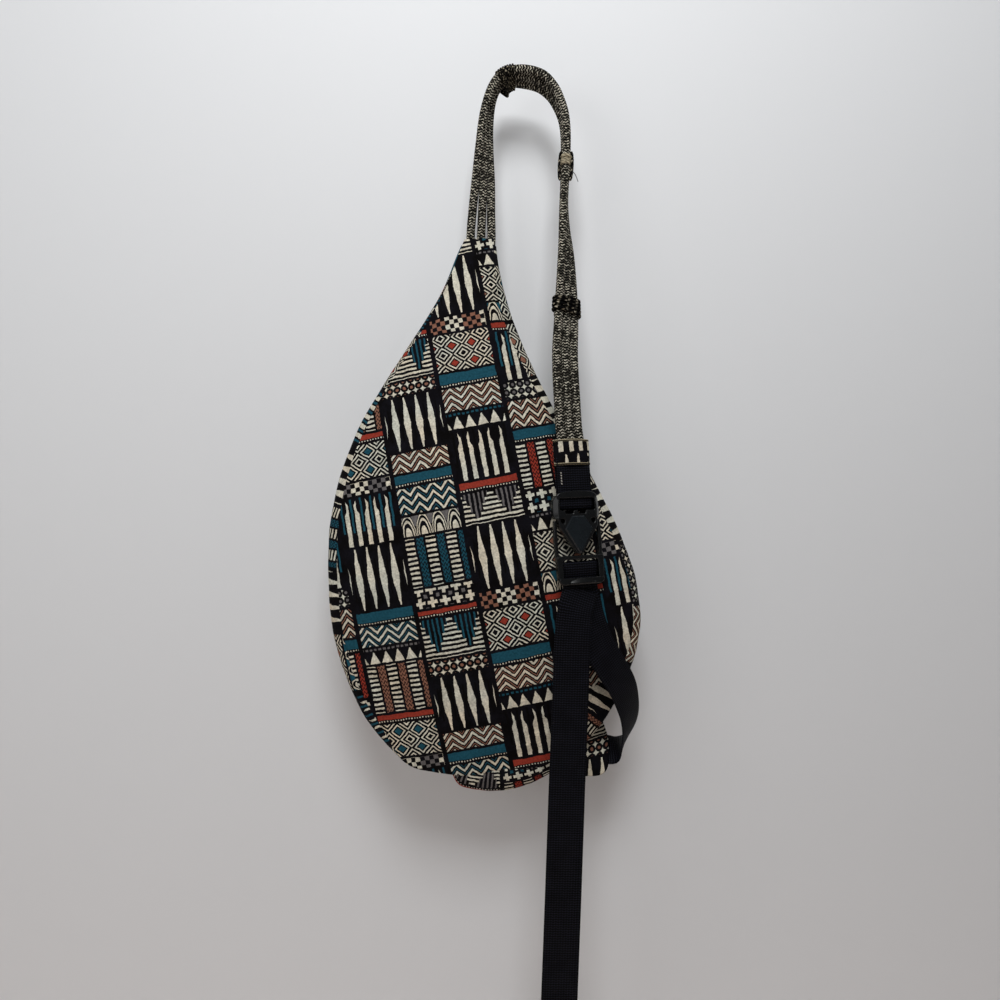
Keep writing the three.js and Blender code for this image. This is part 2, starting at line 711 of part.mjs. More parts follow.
function makeSocket() {
  const top = -SOCKET_TOP;
  const w = BUCKLE_HALF_W;
  const frame = polygon([
    [-w, shoulderBottom],
    [w, shoulderBottom],
    [w, top - SOCKET_TOP_CURVE],
    [SOCKET_TOP_HALF_W, top],
    [-SOCKET_TOP_HALF_W, top],
    [-w, top - SOCKET_TOP_CURVE],
  ]);
  const inside = BUCKLE_INSIDE;
  const windowTop = top - SOCKET_TOP_BAR;
  const window = box(-inside, inside, SOCKET_FRONT_Y - OVERRUN, SOCKET_REAR_Y + OVERRUN, -SHOULDER_TOP, windowTop);
  const barRear = SOCKET_BAR_Y - BAR_THICKNESS / 2 - 2 * FIT_GAP - WEBBING_T;
  const behindBar = box(-inside, inside, barRear, SOCKET_REAR_Y + OVERRUN, windowTop - OVERRUN, top + OVERRUN);
  const middleBar = webbingBar(inside + OVERRUN, SOCKET_BAR_Y, -SOCKET_BAR_AT);
  const tooth = box(
    -SLIT_TOOTH_HALF_W,
    SLIT_TOOTH_HALF_W,
    SOCKET_FRONT_Y + KITE_RISE,
    SOCKET_REAR_Y - KITE_RISE,
    -SHOULDER_TOP - OVERRUN,
    -SHOULDER_TOP + SLIT_TOOTH,
  );
  const tongue = polygon([
    [-TONGUE_TIP_HALF_W, tongueTip],
    [TONGUE_TIP_HALF_W, tongueTip],
    [TONGUE_SHOULDER_HALF_W, shoulderBottom],
    [TONGUE_SHOULDER_HALF_W, shoulderBottom + OVERRUN],
    [-TONGUE_SHOULDER_HALF_W, shoulderBottom + OVERRUN],
    [-TONGUE_SHOULDER_HALF_W, shoulderBottom],
  ]);
  const kiteTop = -SHOULDER_TOP - KITE_INSET;
  const kite = polygon([
    [0, tongueTip + KITE_RISE],
    [KITE_HALF_W, kiteTop - KITE_WIDEST],
    [KITE_TOP_HALF_W, kiteTop],
    [-KITE_TOP_HALF_W, kiteTop],
    [-KITE_HALF_W, kiteTop - KITE_WIDEST],
  ]);
  const notch = (side) => {
    const inner = side * (armInner - FIT_GAP);
    const outer = side * (w + OVERRUN);
    const deep = ARM_HALF_T + FIT_GAP;
    const [x0, x1] = [Math.min(inner, outer), Math.max(inner, outer)];
    return box(x0, x1, -deep, deep, shoulderBottom - OVERRUN, armTop + FIT_GAP);
  };
  const dimple = (side) =>
    new THREE.CylinderGeometry(DIMPLE_R, DIMPLE_R, 2 * DIMPLE_DEPTH, ROUND_SIDES).translate(
      side * DIMPLE_X,
      SOCKET_FRONT_Y,
      -SHOULDER_TOP - SHOULDER_HEIGHT / 2,
    );
  const body = cut(slab(frame, SOCKET_FRONT_Y, SOCKET_REAR_Y), window, behindBar);
  const whole = join(
    body,
    middleBar,
    tooth,
    slab(tongue, SOCKET_FRONT_Y, TONGUE_REAR_Y),
    slab(kite, SOCKET_FRONT_Y - KITE_RISE, SOCKET_FRONT_Y + OVERRUN),
  );
  addMesh(strap, "buckle_socket", cut(whole, notch(-1), notch(1), dimple(-1), dimple(1)), PLASTIC);
}

// Buckle plug.
const plugTop = tongueTip - PLUG_GAP;
const lockTop = plugTop - PLUG_TOP_BAR;
const lockBarZ = lockTop - LOCK_BAR_DROP;
const lockWindowEnd = lockTop - LOCK_WINDOW;
const plugBottom = lockWindowEnd - LIP_HEIGHT;

function makePlug() {
  const w = BUCKLE_HALF_W;
  const inside = BUCKLE_INSIDE;
  const rails = [-1, 1].map((side) => {
    const x = [side * w, side * inside].sort((a, b) => a - b);
    return box(x[0], x[1], PLUG_FRONT_Y, BAR_THICKNESS / 2, plugBottom, plugTop);
  });
  const arms = [-1, 1].map((side) => {
    const x = [side * w, side * armInner].sort((a, b) => a - b);
    return box(x[0], x[1], -ARM_HALF_T, ARM_HALF_T, plugTop - OVERRUN, armTop);
  });
  const across = inside + OVERRUN;
  const topBar = box(-across, across, -ARM_HALF_T, ARM_HALF_T, lockTop, plugTop);
  const lockBar = webbingBar(across, 0, lockBarZ);
  const lip = box(-across, across, LIP_FRONT_Y, LIP_REAR_Y, plugBottom, lockWindowEnd);
  addMesh(strap, "buckle_plug", join(...rails, ...arms, topBar, lockBar, lip), PLASTIC);
}

// Strap tail: folded over the lock bar, behind the lip and down.
function makeTail() {
  const foldEnd = lockBarZ - BAR_HEIGHT;
  const behindLip = LIP_REAR_Y + LIP_CLEARANCE + WEBBING_T / 2;
  const fold = bandOver(0, lockBarZ, 1, lockBarZ - BAR_HEIGHT / 2, foldEnd).reverse();
  const local = [
    ...fold,
    [behindLip, lockWindowEnd],
    [behindLip, plugBottom - 2 * WEBBING_T],
  ];
  const localAcross = new THREE.Vector3(1, 0, 0).transformDirection(strap.matrixWorld);
  const stations = local.map(([y, z]) => ({
    middle: new THREE.Vector3(0, y, z).applyMatrix4(strap.matrixWorld),
    across: localAcross,
  }));
  const exit = stations[stations.length - 1];
  const line = new THREE.CatmullRomCurve3([exit.middle, ...TAIL_POINTS.map(vector)], false, "catmullrom", 0.5);
  const turns = [STRAP_TURN_DEG, ...TAIL_POINTS.map((p) => p[3])];
  const turnLine = new THREE.CatmullRomCurve3(
    turns.map((turn) => new THREE.Vector3(turn, 0, 0)),
    false,
    "catmullrom",
    0.5,
  );
  for (let i = 1; i <= TAIL_STEPS; i += 1) {
    const turn = degrees(turnLine.getPoint(i / TAIL_STEPS).x);
    const across = new THREE.Vector3(Math.cos(turn), Math.sin(turn), 0);
    stations.push({ middle: line.getPoint(i / TAIL_STEPS), across });
  }
  addMesh(bag, "strap_tail", ribbon(stations), WEBBING);
}

// Strap run: from the corner wing up to the back of the lock bar, where it meets the tail's folded end.
function makeRun() {
  const foldEnd = lockBarZ - BAR_HEIGHT - FIT_GAP;
  const rear = BAR_THICKNESS / 2 + FIT_GAP + WEBBING_T / 2;
  const place = (z) => new THREE.Vector3(0, rear, z).applyMatrix4(strap.matrixWorld);
  const across = new THREE.Vector3(1, 0, 0).transformDirection(strap.matrixWorld);
  const points = [...RUN_POINTS.map(vector), place(plugBottom)];
  const widths = [...RUN_POINTS.map((p) => new THREE.Vector3(p[3], p[4], p[5])), across];
  const line = new THREE.CatmullRomCurve3(points, false, "catmullrom", 0.5);
  const widthLine = new THREE.CatmullRomCurve3(widths, false, "catmullrom", 0.5);
  const stations = [];
  for (let i = 0; i <= RUN_STEPS; i += 1) {
    const t = i / RUN_STEPS;
    stations.push({ middle: line.getPoint(t), across: widthLine.getPoint(t).normalize() });
  }
  stations.push({ middle: place(foldEnd), across });
  addMesh(bag, "strap_run", ribbon(stations), WEBBING);
}

// Corner wing: ruled between the gusset's edge at the lower right and the end of the strap run.
function makeWing() {
  const topZ = TIP_Z - BODY_HEIGHT + WING_TOP_RISE;
  const edgeX = edgeAt(topZ, 1) + WING_REACH;
  const root = outline.filter((p, i) => i > lowest && p.x >= SPINE_X + WING_ROOT_OUT && p.y <= topZ);
  const points = [];
  for (let i = 0; i <= WING_STEPS; i += 1) {
    const t = i / WING_STEPS;
    const p = root[Math.round(t * (root.length - 1))];
    const away = p.clone().sub(belly).normalize();
    const inner = p.clone().addScaledVector(away, SEAM_GAP);
    const outerY = lerp(WING_EDGE_LOWER.y, WING_EDGE_UPPER.y, t);
    const outerZ = topZ - lerp(WING_EDGE_LOWER.below, WING_EDGE_UPPER.below, t);
    for (let j = 0; j <= WING_STEPS / 2; j += 1) {
      const r = (2 * j) / WING_STEPS;
      points.push(
        new THREE.Vector3(
          lerp(inner.x, edgeX, r),
          lerp(WING_ROOT_Y, outerY, r),
          lerp(inner.y, outerZ, r),
        ),
      );
    }
  }
  const triangles = gridTriangles(WING_STEPS + 1, WING_STEPS / 2 + 1);
  addMesh(bag, "corner_wing", thicken(points, triangles, WING_THICKNESS), CANVAS);
}

// Zip, in a group that lies on the front panel's outer face with its Y pointing out of the bag.
const zip = new THREE.Group();
const zipTopZ = TIP_Z - ZIP_TOP_DROP;
zip.position.set(SPINE_X, frontY(zipTopZ), zipTopZ);
zip.rotation.x = Math.atan(frontSlope);
bag.add(zip);

function makeZip() {
  const tapeTop = -FABRIC - FIT_GAP;
  for (const [side, name] of [[-1, "zip_tape_left"], [1, "zip_tape_right"]]) {
    const x = [side * (TAPE_SPLIT / 2), side * (TAPE_SPLIT / 2 + TAPE_W)].sort((a, b) => a - b);
    const tape = box(x[0], x[1], tapeTop - TAPE_T, tapeTop, -ZIP_LENGTH - TAPE_SPARE, TAPE_SPARE);
    addMesh(zip, name, tape, ZIP_TAPE);
  }
  const teethBase = tapeTop + FIT_GAP;
  const teethTop = teethBase + TEETH_T;
  const ends = STOP_LENGTH + 2 * FIT_GAP;
  const w = TEETH_HALF_W;
  addMesh(zip, "zip_teeth", box(-w, w, teethBase, teethTop, -ZIP_LENGTH + ends, -ends), ZIP_METAL);
  const stopTop = box(-w, w, teethBase, teethTop, -STOP_LENGTH - FIT_GAP, -FIT_GAP);
  addMesh(zip, "zip_top_stop", stopTop, ZIP_METAL);
  const stopBottom = box(-w, w, teethBase, teethTop, -ZIP_LENGTH + FIT_GAP, -ZIP_LENGTH + FIT_GAP + STOP_LENGTH);
  addMesh(zip, "zip_bottom_stop", stopBottom, ZIP_METAL);

  const sliderTopZ = -ends - SLIDER_GAP;
  const sliderBottomZ = sliderTopZ - SLIDER_LENGTH;
  const roof = teethTop + SLIDER_GAP;
  const roofTop = roof + SLIDER_WALL;
  const half = w + SLIDER_GAP + SLIDER_WALL;
  const saddle = box(-half, half, teethBase + SLIDER_GAP, roofTop, sliderBottomZ, sliderTopZ);
  const channelHalf = w + SLIDER_GAP;
  const channel = box(
    -channelHalf,
    channelHalf,
    teethBase - OVERRUN,
    roof,
    sliderBottomZ - OVERRUN,
    sliderTopZ + OVERRUN,
  );
  const hingeY = roofTop + PULL_EYE_R + FIT_GAP;
  const hingeZ = (sliderTopZ + sliderBottomZ) / 2;
  const postInner = PULL_NECK_W / 2 + FIT_GAP;
  const posts = [-1, 1].map((side) => {
    const x = [side * postInner, side * (postInner + PULL_POST_W)].sort((a, b) => a - b);
    const r = PULL_EYE_R;
    return box(x[0], x[1], roofTop - SLIDER_WALL / 2, hingeY + PULL_BAR_R + FIT_GAP, hingeZ - r, hingeZ + r);
  });
  const pin = bar(PULL_BAR_R, -postInner - PULL_POST_W / 2, postInner + PULL_POST_W / 2, hingeY, hingeZ);
  addMesh(zip, "zip_slider", join(cut(saddle, channel), ...posts, pin), ZIP_METAL);

  const eye = bar(PULL_EYE_R, -PULL_NECK_W / 2, PULL_NECK_W / 2, hingeY, hingeZ);
  const eyeHole = bar(PULL_EYE_HOLE_R, -PULL_NECK_W, PULL_NECK_W, hingeY, hingeZ);
  const neckEnd = hingeZ - PULL_NECK_LENGTH;
  const halfT = PULL_T / 2;
  const neck = box(-PULL_NECK_W / 2, PULL_NECK_W / 2, hingeY - halfT, hingeY + halfT, neckEnd, hingeZ - PULL_BAR_R);
  const tab = polygon([
    [-PULL_NECK_W / 2, neckEnd + OVERRUN],
    [-PULL_W / 2, neckEnd - PULL_CORNER],
    [-PULL_W / 2, hingeZ - PULL_LENGTH + PULL_CORNER],
    [-PULL_NECK_W / 2, hingeZ - PULL_LENGTH],
    [PULL_NECK_W / 2, hingeZ - PULL_LENGTH],
    [PULL_W / 2, hingeZ - PULL_LENGTH + PULL_CORNER],
    [PULL_W / 2, neckEnd - PULL_CORNER],
    [PULL_NECK_W / 2, neckEnd + OVERRUN],
  ]);
  const pull = cut(join(eye, neck, slab(tab, hingeY - halfT, hingeY + halfT)), eyeHole);
  addMesh(zip, "zip_pull", pull, ZIP_METAL);
}

makeBackPanel();
makeGusset();
makeFrontPanel();
makeStrand("rope_strand_left", -STRAND_PITCH);
makeStrand("rope_strand_middle", 0);
makeStrand("rope_strand_right", STRAND_PITCH);
makeBinding("hook_binding", HOOK_BINDING);
makeBinding("upper_binding", UPPER_BINDING);
makeBinding("lower_binding", LOWER_BINDING);
makeTab();
makeSocketWebbing();
makeSocket();
makePlug();
makeTail();
makeRun();
makeWing();
makeZip();

export default bag;
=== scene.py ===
"""Looks of the rope sling backpack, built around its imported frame.

Sizes are in millimetres and become metres where a mesh is made. +Z is up and the camera looks along +Y.
"""

import itertools
import math
import random
from functools import partialmethod

import bmesh
import bpy
import numpy as np
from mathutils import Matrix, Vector, noise


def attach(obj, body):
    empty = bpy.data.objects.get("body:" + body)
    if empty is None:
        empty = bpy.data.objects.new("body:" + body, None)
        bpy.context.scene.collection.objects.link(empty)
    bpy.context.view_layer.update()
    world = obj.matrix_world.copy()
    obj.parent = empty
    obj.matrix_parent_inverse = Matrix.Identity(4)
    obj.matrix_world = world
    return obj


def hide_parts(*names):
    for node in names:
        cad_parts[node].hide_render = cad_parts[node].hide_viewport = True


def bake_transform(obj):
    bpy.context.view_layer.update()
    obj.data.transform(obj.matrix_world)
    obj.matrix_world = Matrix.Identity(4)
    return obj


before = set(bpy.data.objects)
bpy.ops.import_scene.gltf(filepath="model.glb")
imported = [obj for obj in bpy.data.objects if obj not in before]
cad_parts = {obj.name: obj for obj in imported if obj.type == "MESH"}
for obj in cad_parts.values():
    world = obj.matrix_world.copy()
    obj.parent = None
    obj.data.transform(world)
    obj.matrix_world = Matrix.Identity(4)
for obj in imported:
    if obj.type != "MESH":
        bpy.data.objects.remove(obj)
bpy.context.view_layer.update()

MM = 0.001
SEED = 7
BEVEL_ANGLE_DEG = 35
LOFT_ANGLE_DEG = 25

# Body outline, as in the solids. Drops are measured down from the tip.
TIP_Z = -153
SPINE_X = -19.5
TIP_WIDTH = 29
BODY_HEIGHT = 521
BOTTOM_SHIFT = 12
LEFT_REACH = 141.5
LEFT_DROP = 307
RIGHT_REACH = 149
RIGHT_DROP = 361
SPINE_DROP = 330
LEFT_NECK_HANDLE = (40, 114)
RIGHT_NECK_HANDLE = (9, 141)
LEFT_BELLY_RISE = 143
LEFT_BELLY_FALL = 199
RIGHT_BELLY_RISE = 106
RIGHT_BELLY_FALL = 64
BOTTOM_LEFT_HANDLE = 29
BOTTOM_RIGHT_HANDLE = 75

# Body depth, as in the solids.
TIP_HALF_DEPTH = 6.8
TAPER_DROP = 270
BACK_SEAM_Y = -42
BACK_CROWN = 22
TIP_CROWN = 1
WIDEST_Y = -30
BACK_SEAM_INSET = 11
FRONT_SEAM_INSET = 5
TIP_SEAM_INSET = 1.5
FRONT_BOTTOM_Y = 38

# Cloth of the body: thickness, steps of the meshes, and the print's stretch along the gusset.
CLOTH = 1.6
OUTLINE_SAMPLES = 400
NECK_ROWS = 110
BELLY_RAYS = 150
PANEL_RINGS = 56
GUSSET_ROWS = 26
GUSSET_TUCKS = 2
GUSSET_TOP_DROP = 6
FRONT_ROWS = (40, 110, 40)
FRONT_COLUMNS = 36
SLOT_STEP = 0.01
GUSSET_STRETCH = 0.97

# Soft forms of the body. The bulge at the left of the tip has a width, a drop and a reach.
TIP_BULGE = (3.2, 14, 28)
# The back panel's edge rolls over the seam in steps out and back.
SEAM_ROLL = [(0.35, 0.9), (0.15, 2.0), (-0.9, 3.0)]
# Where the back seam's inset swells or shrinks: by how much, and its place and reach across and up.
SEAM_SWELLS = [(1.05, 4, 38, -674, 16), (-0.8, -88, 24, -648, 30), (2.0, 102, 26, -600, 28)]
# The same on the right side alone: by how much, and its height and reach.
RIGHT_SEAM_SWELLS = [(1.3, -225, 55), (-0.3, -470, 90)]
# Creases in the back panel: start, end, depth and width. None reaches above the height given.
CREASES_BELOW_Z = -520
PANEL_CREASES = [
    ((-22, -648), (30, -634), 2.4, 4.5),
    ((-64, -642), (-26, -628), 2.2, 5.0),
    ((28, -612), (62, -596), 2.0, 6.0),
    ((-132, -548), (-104, -590), 1.8, 7.0),
]
# Notch in the bottom: place, reach to the left and to the right, and height. The sag beside it: place, reach
# and height. Both lie below the height given.
BOTTOM_NOTCH = (-52, 22, 8, 12)
BOTTOM_SAG = (-4, 40, 2.5)
BOTTOM_BELOW_Z = -600
# The gusset's edges tuck in behind the seams by these steps, inward and in depth.
TUCK_IN = 1.2
TUCK_DEPTH = 1.1

# Free edge of the corner wing from its lower left, behind the strap's tail, round the corner to the gusset.
WING_EDGE = [
    (52, -21, -662.5),
    (78, -23, -663),
    (92.5, -24, -661.8),
    (98.8, -23.5, -657),
    (100.6, -20, -649),
    (101, -11, -640),
    (100.8, -5, -632),
    (97, -10, -620),
    (93.5, -18, -612.5),
]
WING_ROOT_X = 46
WING_ROOT_Y = -22
WING_TOP_Z = -611
WING_UNDERLAP = 2
WING_T = 2.6
WING_COLUMNS = 48
WING_ROWS = 20
WING_EDGE_SAMPLES = 200
WING_EDGE_STEP = 0.5

# Zip. The first five are as in the solids.
ZIP_TOP_DROP = 110
ZIP_LENGTH = 300
ZIP_SLOT_HALF_W = 5.4
TAPE_W = 12.5
TAPE_T = 0.8
TAPE_Y = -2.7
TAPE_SPARE = 6
TAPE_HALF_GAP = 0.5
TAPE_ROWS = 120
TEETH_ENDS = 4.6
TEETH_Y = -0.8
TOOTH_PITCH = 1.25
TOOTH_SHIFT = 1.1
TOOTH = (3.0, 2.2, 0.95)
TOOTH_NARROW = 0.7
TOOTH_BEVEL = 0.18
ZIP_BEVEL = 0.3

# Rope route, as in the solids: x, y, z, and the turn and dip of the row of strands in degrees.
ROPE_D = 8.2
STRAND_PITCH = 8.6
ROPE_POINTS = [
    (-19.4, 0, -170, 0, 0),
    (-19.4, 0, -149.8, 0, 0),
    (-18.5, 0, -127.4, 8, 0),
    (-17, 0, -93.4, 35, 0),
    (-16, 0, -64.2, 57, 0),
    (-14.1, 0, -35, 72, 0),
    (-9.7, 0, -12.7, 84, 0),
    (-2.9, 0, 0.9, 90, 0),
    (6.8, 0, 6.5, 90, 6),
    (22.4, 0, 6.8, 90, 16),
    (38.6, 0, 2.4, 90, 18),
    (49.8, 0, -7.8, 90, 14),
    (56.6, -0.5, -20.6, 90, 8),
    (60.9, -1, -34, 90, 2),
    (62.6, -1.5, -50.4, 90, 0),
    (62.5, -2.3, -70.1, 90, 0),
    (61.9, -3.5, -90.1, 88, 0),
    (60.6, -7, -115.7, 85, 0),
    (60.7, -12, -141.7, 77, 0),
    (61.7, -17, -167.3, 63, 0),
    (61.7, -22, -192.6, 50, 0),
    (61.2, -27, -217.5, 38, 0),
    (60.3, -32.5, -242.2, 28, 0),
    (58.9, -37.5, -266.5, 22, 0),
    (59, -42, -290.2, 19, 0),
    (59.9, -46.5, -313.7, 18, 0),
    (60.9, -50, -336.8, 18, 0),
    (62.4, -52, -350.5, 18, 0),
    (63, -52.7, -360, 18, 0),
]
ROUTE_STEPS = 8
ROPE_SAMPLES = 1200
STRAND_SAMPLES = 1600
STRAND_SIDES = 48
STRAND_RING = 0.5
BRAID_CELLS = 12
BRAID_PITCH = 1.35
BRAID_RELIEF = 0.5
BRAID_SEAT = 0.75
# The outer strands part a little from the middle one above the bag's tip: share of the pitch, place along
# the rope and reach.
LEFT_SPREAD = (0.18, 24, 25)
RIGHT_SPREAD = (0.17, 20, 18)

# Bindings: how far along the rope the middle is, and the length.
HOOK_BINDING = (182, 20)
UPPER_BINDING = (311, 28)
LOWER_BINDING = (454, 20)
LACE_CELLS = 6
LACE_SIDES = 18
LACE_TURN_STEPS = 64
LACE_STEP = 0.6
# Core radius, relief and braid pitch of a lace, as shares of its thickness.
LACE_CORE, LACE_RELIEF, LACE_PITCH = 0.43, 0.09, 0.7
SIDE_LACE_T = 3.2
SIDE_LACE_RISE = 12
SIDE_LACE_FALL = 16
# Loose thread below the upper binding: start beside the rope's middle, steps, place and thickness.
LOOSE_START = (5, -STRAND_PITCH, 0)
LOOSE_STEPS = [(0, 0, 0), (2.4, -1, -1.5), (4.6, -1.2, -5), (6.6, -0.6, -10)]
LOOSE_FALL = 7
LOOSE_RADIUS = 0.32

# Strap frame, as in the solids.
STRAP_TOP = (62.4, -52, -350.5)
STRAP_TILT_DEG = -5.4
STRAP_LEAN_DEG = -2
STRAP_TURN_DEG = 18
WEBBING_W = 32
WEBBING_T = 1.6
FIT_GAP = 0.3
TAB_LENGTH = 23
TAB_OVERLAP = 8
BAR_HEIGHT = 5
BAR_THICKNESS = 2.8
SOCKET_BAR_AT = 58.5
SOCKET_BAR_Y = 0.6
TONGUE_TIP_AT = 102.9
PLUG_GAP = 0.8
PLUG_TOP_BAR = 3.6
LOCK_BAR_DROP = 5.8
LOCK_WINDOW = 16.2
LIP_HEIGHT = 6
LIP_REAR_Y = -1.8
LIP_CLEARANCE = 0.8

# Strap tail and run, as in the solids: x, y, z, and the turn of the width in degrees or its direction.
TAIL_POINTS = [
    (68, -65, -491, 15),
    (64.6, -68.2, -504, 11),
    (62.2, -70, -531, 6),
    (60.6, -70, -580, 3),
    (57.7, -70, -652.5, 2),
    (54.3, -70, -750, 2),
    (50.8, -70, -844, 2),
    (49.8, -70, -875, 2),
]
RUN_POINTS = [
    (100.7, -12.5, -642.5, 0, 0.8, 0.6),
    (109.9, -13.5, -641.5, 0.16, 0.82, 0.5),
    (118.2, -18, -631, 0.42, 0.84, 0.28),
    (121, -26, -614, 0.55, 0.83, 0.06),
    (118.2, -36, -595, 0.66, 0.75, 0.02),
    (110.3, -47.5, -573.5, 0.78, 0.6, 0.1),
    (97.6, -55.5, -552, 0.87, 0.48, 0.1),
    (86, -59, -532, 0.92, 0.38, 0.06),
    (78, -60.2, -511, 0.94, 0.33, 0.03),
    (73.4, -59.2, -492, 0.95, 0.31, 0.02),
]
RIBBON_SEGMENTS = 10
RIBBON_STEP = 2.5
FOLD_STEP = 0.8
STRAP_SAMPLES = 500

# Sleeve on the rope ends, and the bar tack below it.
TAB_HALF_W = 17.4
TAB_EDGE = 1.3
TAB_SWELL = 5.0
TAB_WALL = 1.3
TAB_ROWS = 24
TAB_SIDES = 56
TAB_HEM_ROWS = 2
TAB_REAR_SHIFT = 40
BAR_TACK_X = -12.5
BAR_TACK_DROPS = (30, 32.4, 34.8, 37.2, 39.6)
STITCH_STEP = (0.25, 0.7)
STITCH_RADIUS = 0.5

# Buckle. Outlines are x and z in the strap frame, and plates reach from one depth to another.
SOCKET_HALF = [
    (0, -46.2), (10, -46.6), (17, -48), (19.6, -50.6), (18.4, -54), (18.2, -64.5), (18.4, -69), (19.4, -71),
    (18.9, -71.8), (18.7, -77.5), (16.6, -81), (2.6, -102.2),
]
SOCKET_WINDOW = [
    (-16.9, -52.8), (16.9, -52.8), (16.9, -63.6), (8, -63.6), (8, -66.6), (0.4, -66.6), (0.4, -63.6),
    (-4, -63.6), (-4, -66.6), (-11.6, -66.6), (-11.6, -63.6), (-16.9, -63.6),
]
SOCKET_BODY = [(-18.8, -69), (18.8, -69), (18.6, -77.5), (2.6, -102), (-2.6, -102), (-18.6, -77.5)]
SOCKET_POCKET = [(12.4, -71.2), (16.8, -70.9), (16.5, -74.6), (13.4, -75.6)]
SOCKET_BACK = [(-18, -69.6), (18, -69.6), (17.6, -77), (-17.6, -77)]
# Outer edge of a rail of the socket, its inner edge and depths, and how far its front corner is cut off.
SOCKET_RAIL = [
    (19.6, -50.4), (20.8, -52.2), (21.7, -54.6), (22.2, -58), (22.4, -64.5), (22.1, -68.6), (21, -70.6),
]
RAIL_INNER_X = 16.9
RAIL_FRONT, RAIL_REAR = -5.4, 3.6
RAIL_CUT = 4
RAIL_LAND = 0.8
RAIL_BEVEL = 0.6
# Raised kite of the socket, the height it narrows towards, and the depths and shares of its outline.
KITE = [(-6, -68.4), (6, -68.4), (13.6, -80), (1, -102), (-1, -102), (-13.6, -80)]
KITE_MIDDLE_Z = -82
KITE_STEPS = [(-4, 1), (-5.1, 1), (-6.7, 0.87)]
KITE_BEVEL = 0.5
PLUG_FRAME = [
    (-22.5, -103.7), (22.5, -103.7), (22.3, -116), (21.6, -126), (18.5, -127), (16.9, -126), (16.9, -107.3),
    (-16.9, -107.3), (-16.9, -126), (-18.5, -127), (-21.6, -126), (-22.3, -116),
]
PLUG_ARM = [(19.4, -73), (20.4, -72), (22.2, -72.6), (22.9, -86), (22.5, -105), (19.3, -105), (19.6, -86)]
PLUG_FOOT = [(-22, -123.2), (22, -123.2), (21.2, -127.6), (18, -129.5), (-18, -129.5), (-21.2, -127.6)]
# Section of the plug's lip as y and z, its rear depth, and how much it falls back towards its ends.
PLUG_LIP = [(-3, -123.4), (-5, -123.5), (-7.1, -127.7), (-6.4, -129.3), (-3, -129.3)]
PLUG_LIP_HALF_W = 12.5
PLUG_LIP_REAR = -2
PLUG_LIP_BOW = 0.011
PLUG_LIP_SECTIONS = 15
PLUG_LIP_BEVEL = 0.5
BAR_HALF_W = 18
BAR_BEVEL = 1.2
BAR_CORNER = 0.4

# Print. Colours are linear.
GROUND = (0.0026, 0.002, 0.0021)
COOL_GROUND = (0.0056, 0.0052, 0.0078)
WARM_CREAM = (0.72, 0.635, 0.49)
COOL_CREAM = (0.64, 0.64, 0.545)
TEAL = (0.012, 0.068, 0.098)
RUST = (0.27, 0.036, 0.022)
TAN = (0.24, 0.11, 0.072)
STONE = (0.13, 0.12, 0.118)
ACCENTS = [TEAL, RUST, TAN, STONE, GROUND]
PRINT_TURN_DEG = 11
COLUMN_W = 57
COLUMN_GAP = 2.1
COLUMN_REPEAT = 256
COLUMN_LIFT = 97
CELL_GAP = 1.2
YARN = 0.55
(LEAVES, CHEVRONS, CHECK, LOZENGES, HERRINGBONE, BLOCK, SAWTOOTH, LADDER, DOTS, SCALLOPS, CROSSES, PICKETS,
 STEPS) = range(1, 14)
# Each column of the patchwork from bottom to top: height, motif and accent colour.
PRINT_COLUMNS = [
    [(46, PICKETS, TEAL), (14, CHECK, STONE), (34, LOZENGES, TEAL), (9, BLOCK, RUST), (46, LADDER, TAN),
     (16, SAWTOOTH, STONE), (20, HERRINGBONE, TEAL), (13, BLOCK, TEAL), (58, LEAVES, GROUND)],
    [(20, SCALLOPS, STONE), (26, CHEVRONS, TEAL), (12, BLOCK, TEAL), (20, HERRINGBONE, TAN),
     (52, LEAVES, GROUND), (15, DOTS, TAN), (38, STEPS, TEAL), (8, BLOCK, RUST), (19, CROSSES, STONE),
     (46, LADDER, TEAL)],
    [(30, STEPS, STONE), (10, BLOCK, RUST), (48, PICKETS, GROUND), (17, SAWTOOTH, TEAL),
     (24, HERRINGBONE, TAN), (14, BLOCK, TEAL), (38, LOZENGES, RUST), (17, CHECK, TAN), (58, LEAVES, GROUND)],
    [(22, CROSSES, TEAL), (44, LADDER, RUST), (13, BLOCK, TEAL), (28, CHEVRONS, TAN), (18, DOTS, STONE),
     (50, PICKETS, TEAL), (9, BLOCK, RUST), (20, SCALLOPS, TEAL), (36, LOZENGES, TAN), (16, SAWTOOTH, STONE)],
]

# Camera and stage.
CAMERA_AT = (-1, -702, -404.5)
CAMERA_LENS = 26
CAMERA_SENSOR = 36
CAMERA_NEAR_M = 0.01
WALL_Y = 46
FLOOR_Z = -935
STAGE_REACH = 2600
WALL_COLOUR = (0.75, 0.758, 0.768)
FLOOR_COLOUR = (0.71, 0.61, 0.555)
SKY_COLOUR, SKY_STRENGTH = (0.95, 0.98, 1.0), 0.155
SEEN_SKY_COLOUR, SEEN_SKY_STRENGTH = (0.8, 0.82, 0.82), 1.0
# Lamps: place and target in metres, size in metres, power in watts, and colour.
LAMPS = {
    "key": ((0.0, -1.0, 0.72), (0, 0, 0), 0.6, 15.2, (0.97, 0.985, 1.0)),
    "side": ((-0.95, -1.0, -0.1), (0, 0, -0.4), 0.7, 2.5, (1, 1, 1)),
    "behind": ((-0.6, 1.9, 0.6), (0, 0, -0.4), 1.6, 24, (1, 1, 1)),
}


# Number helpers


def unit(vectors):
    """Vectors scaled to length 1."""
    vectors = np.asarray(vectors, float)
    return vectors / np.linalg.norm(vectors, axis=-1, keepdims=True)


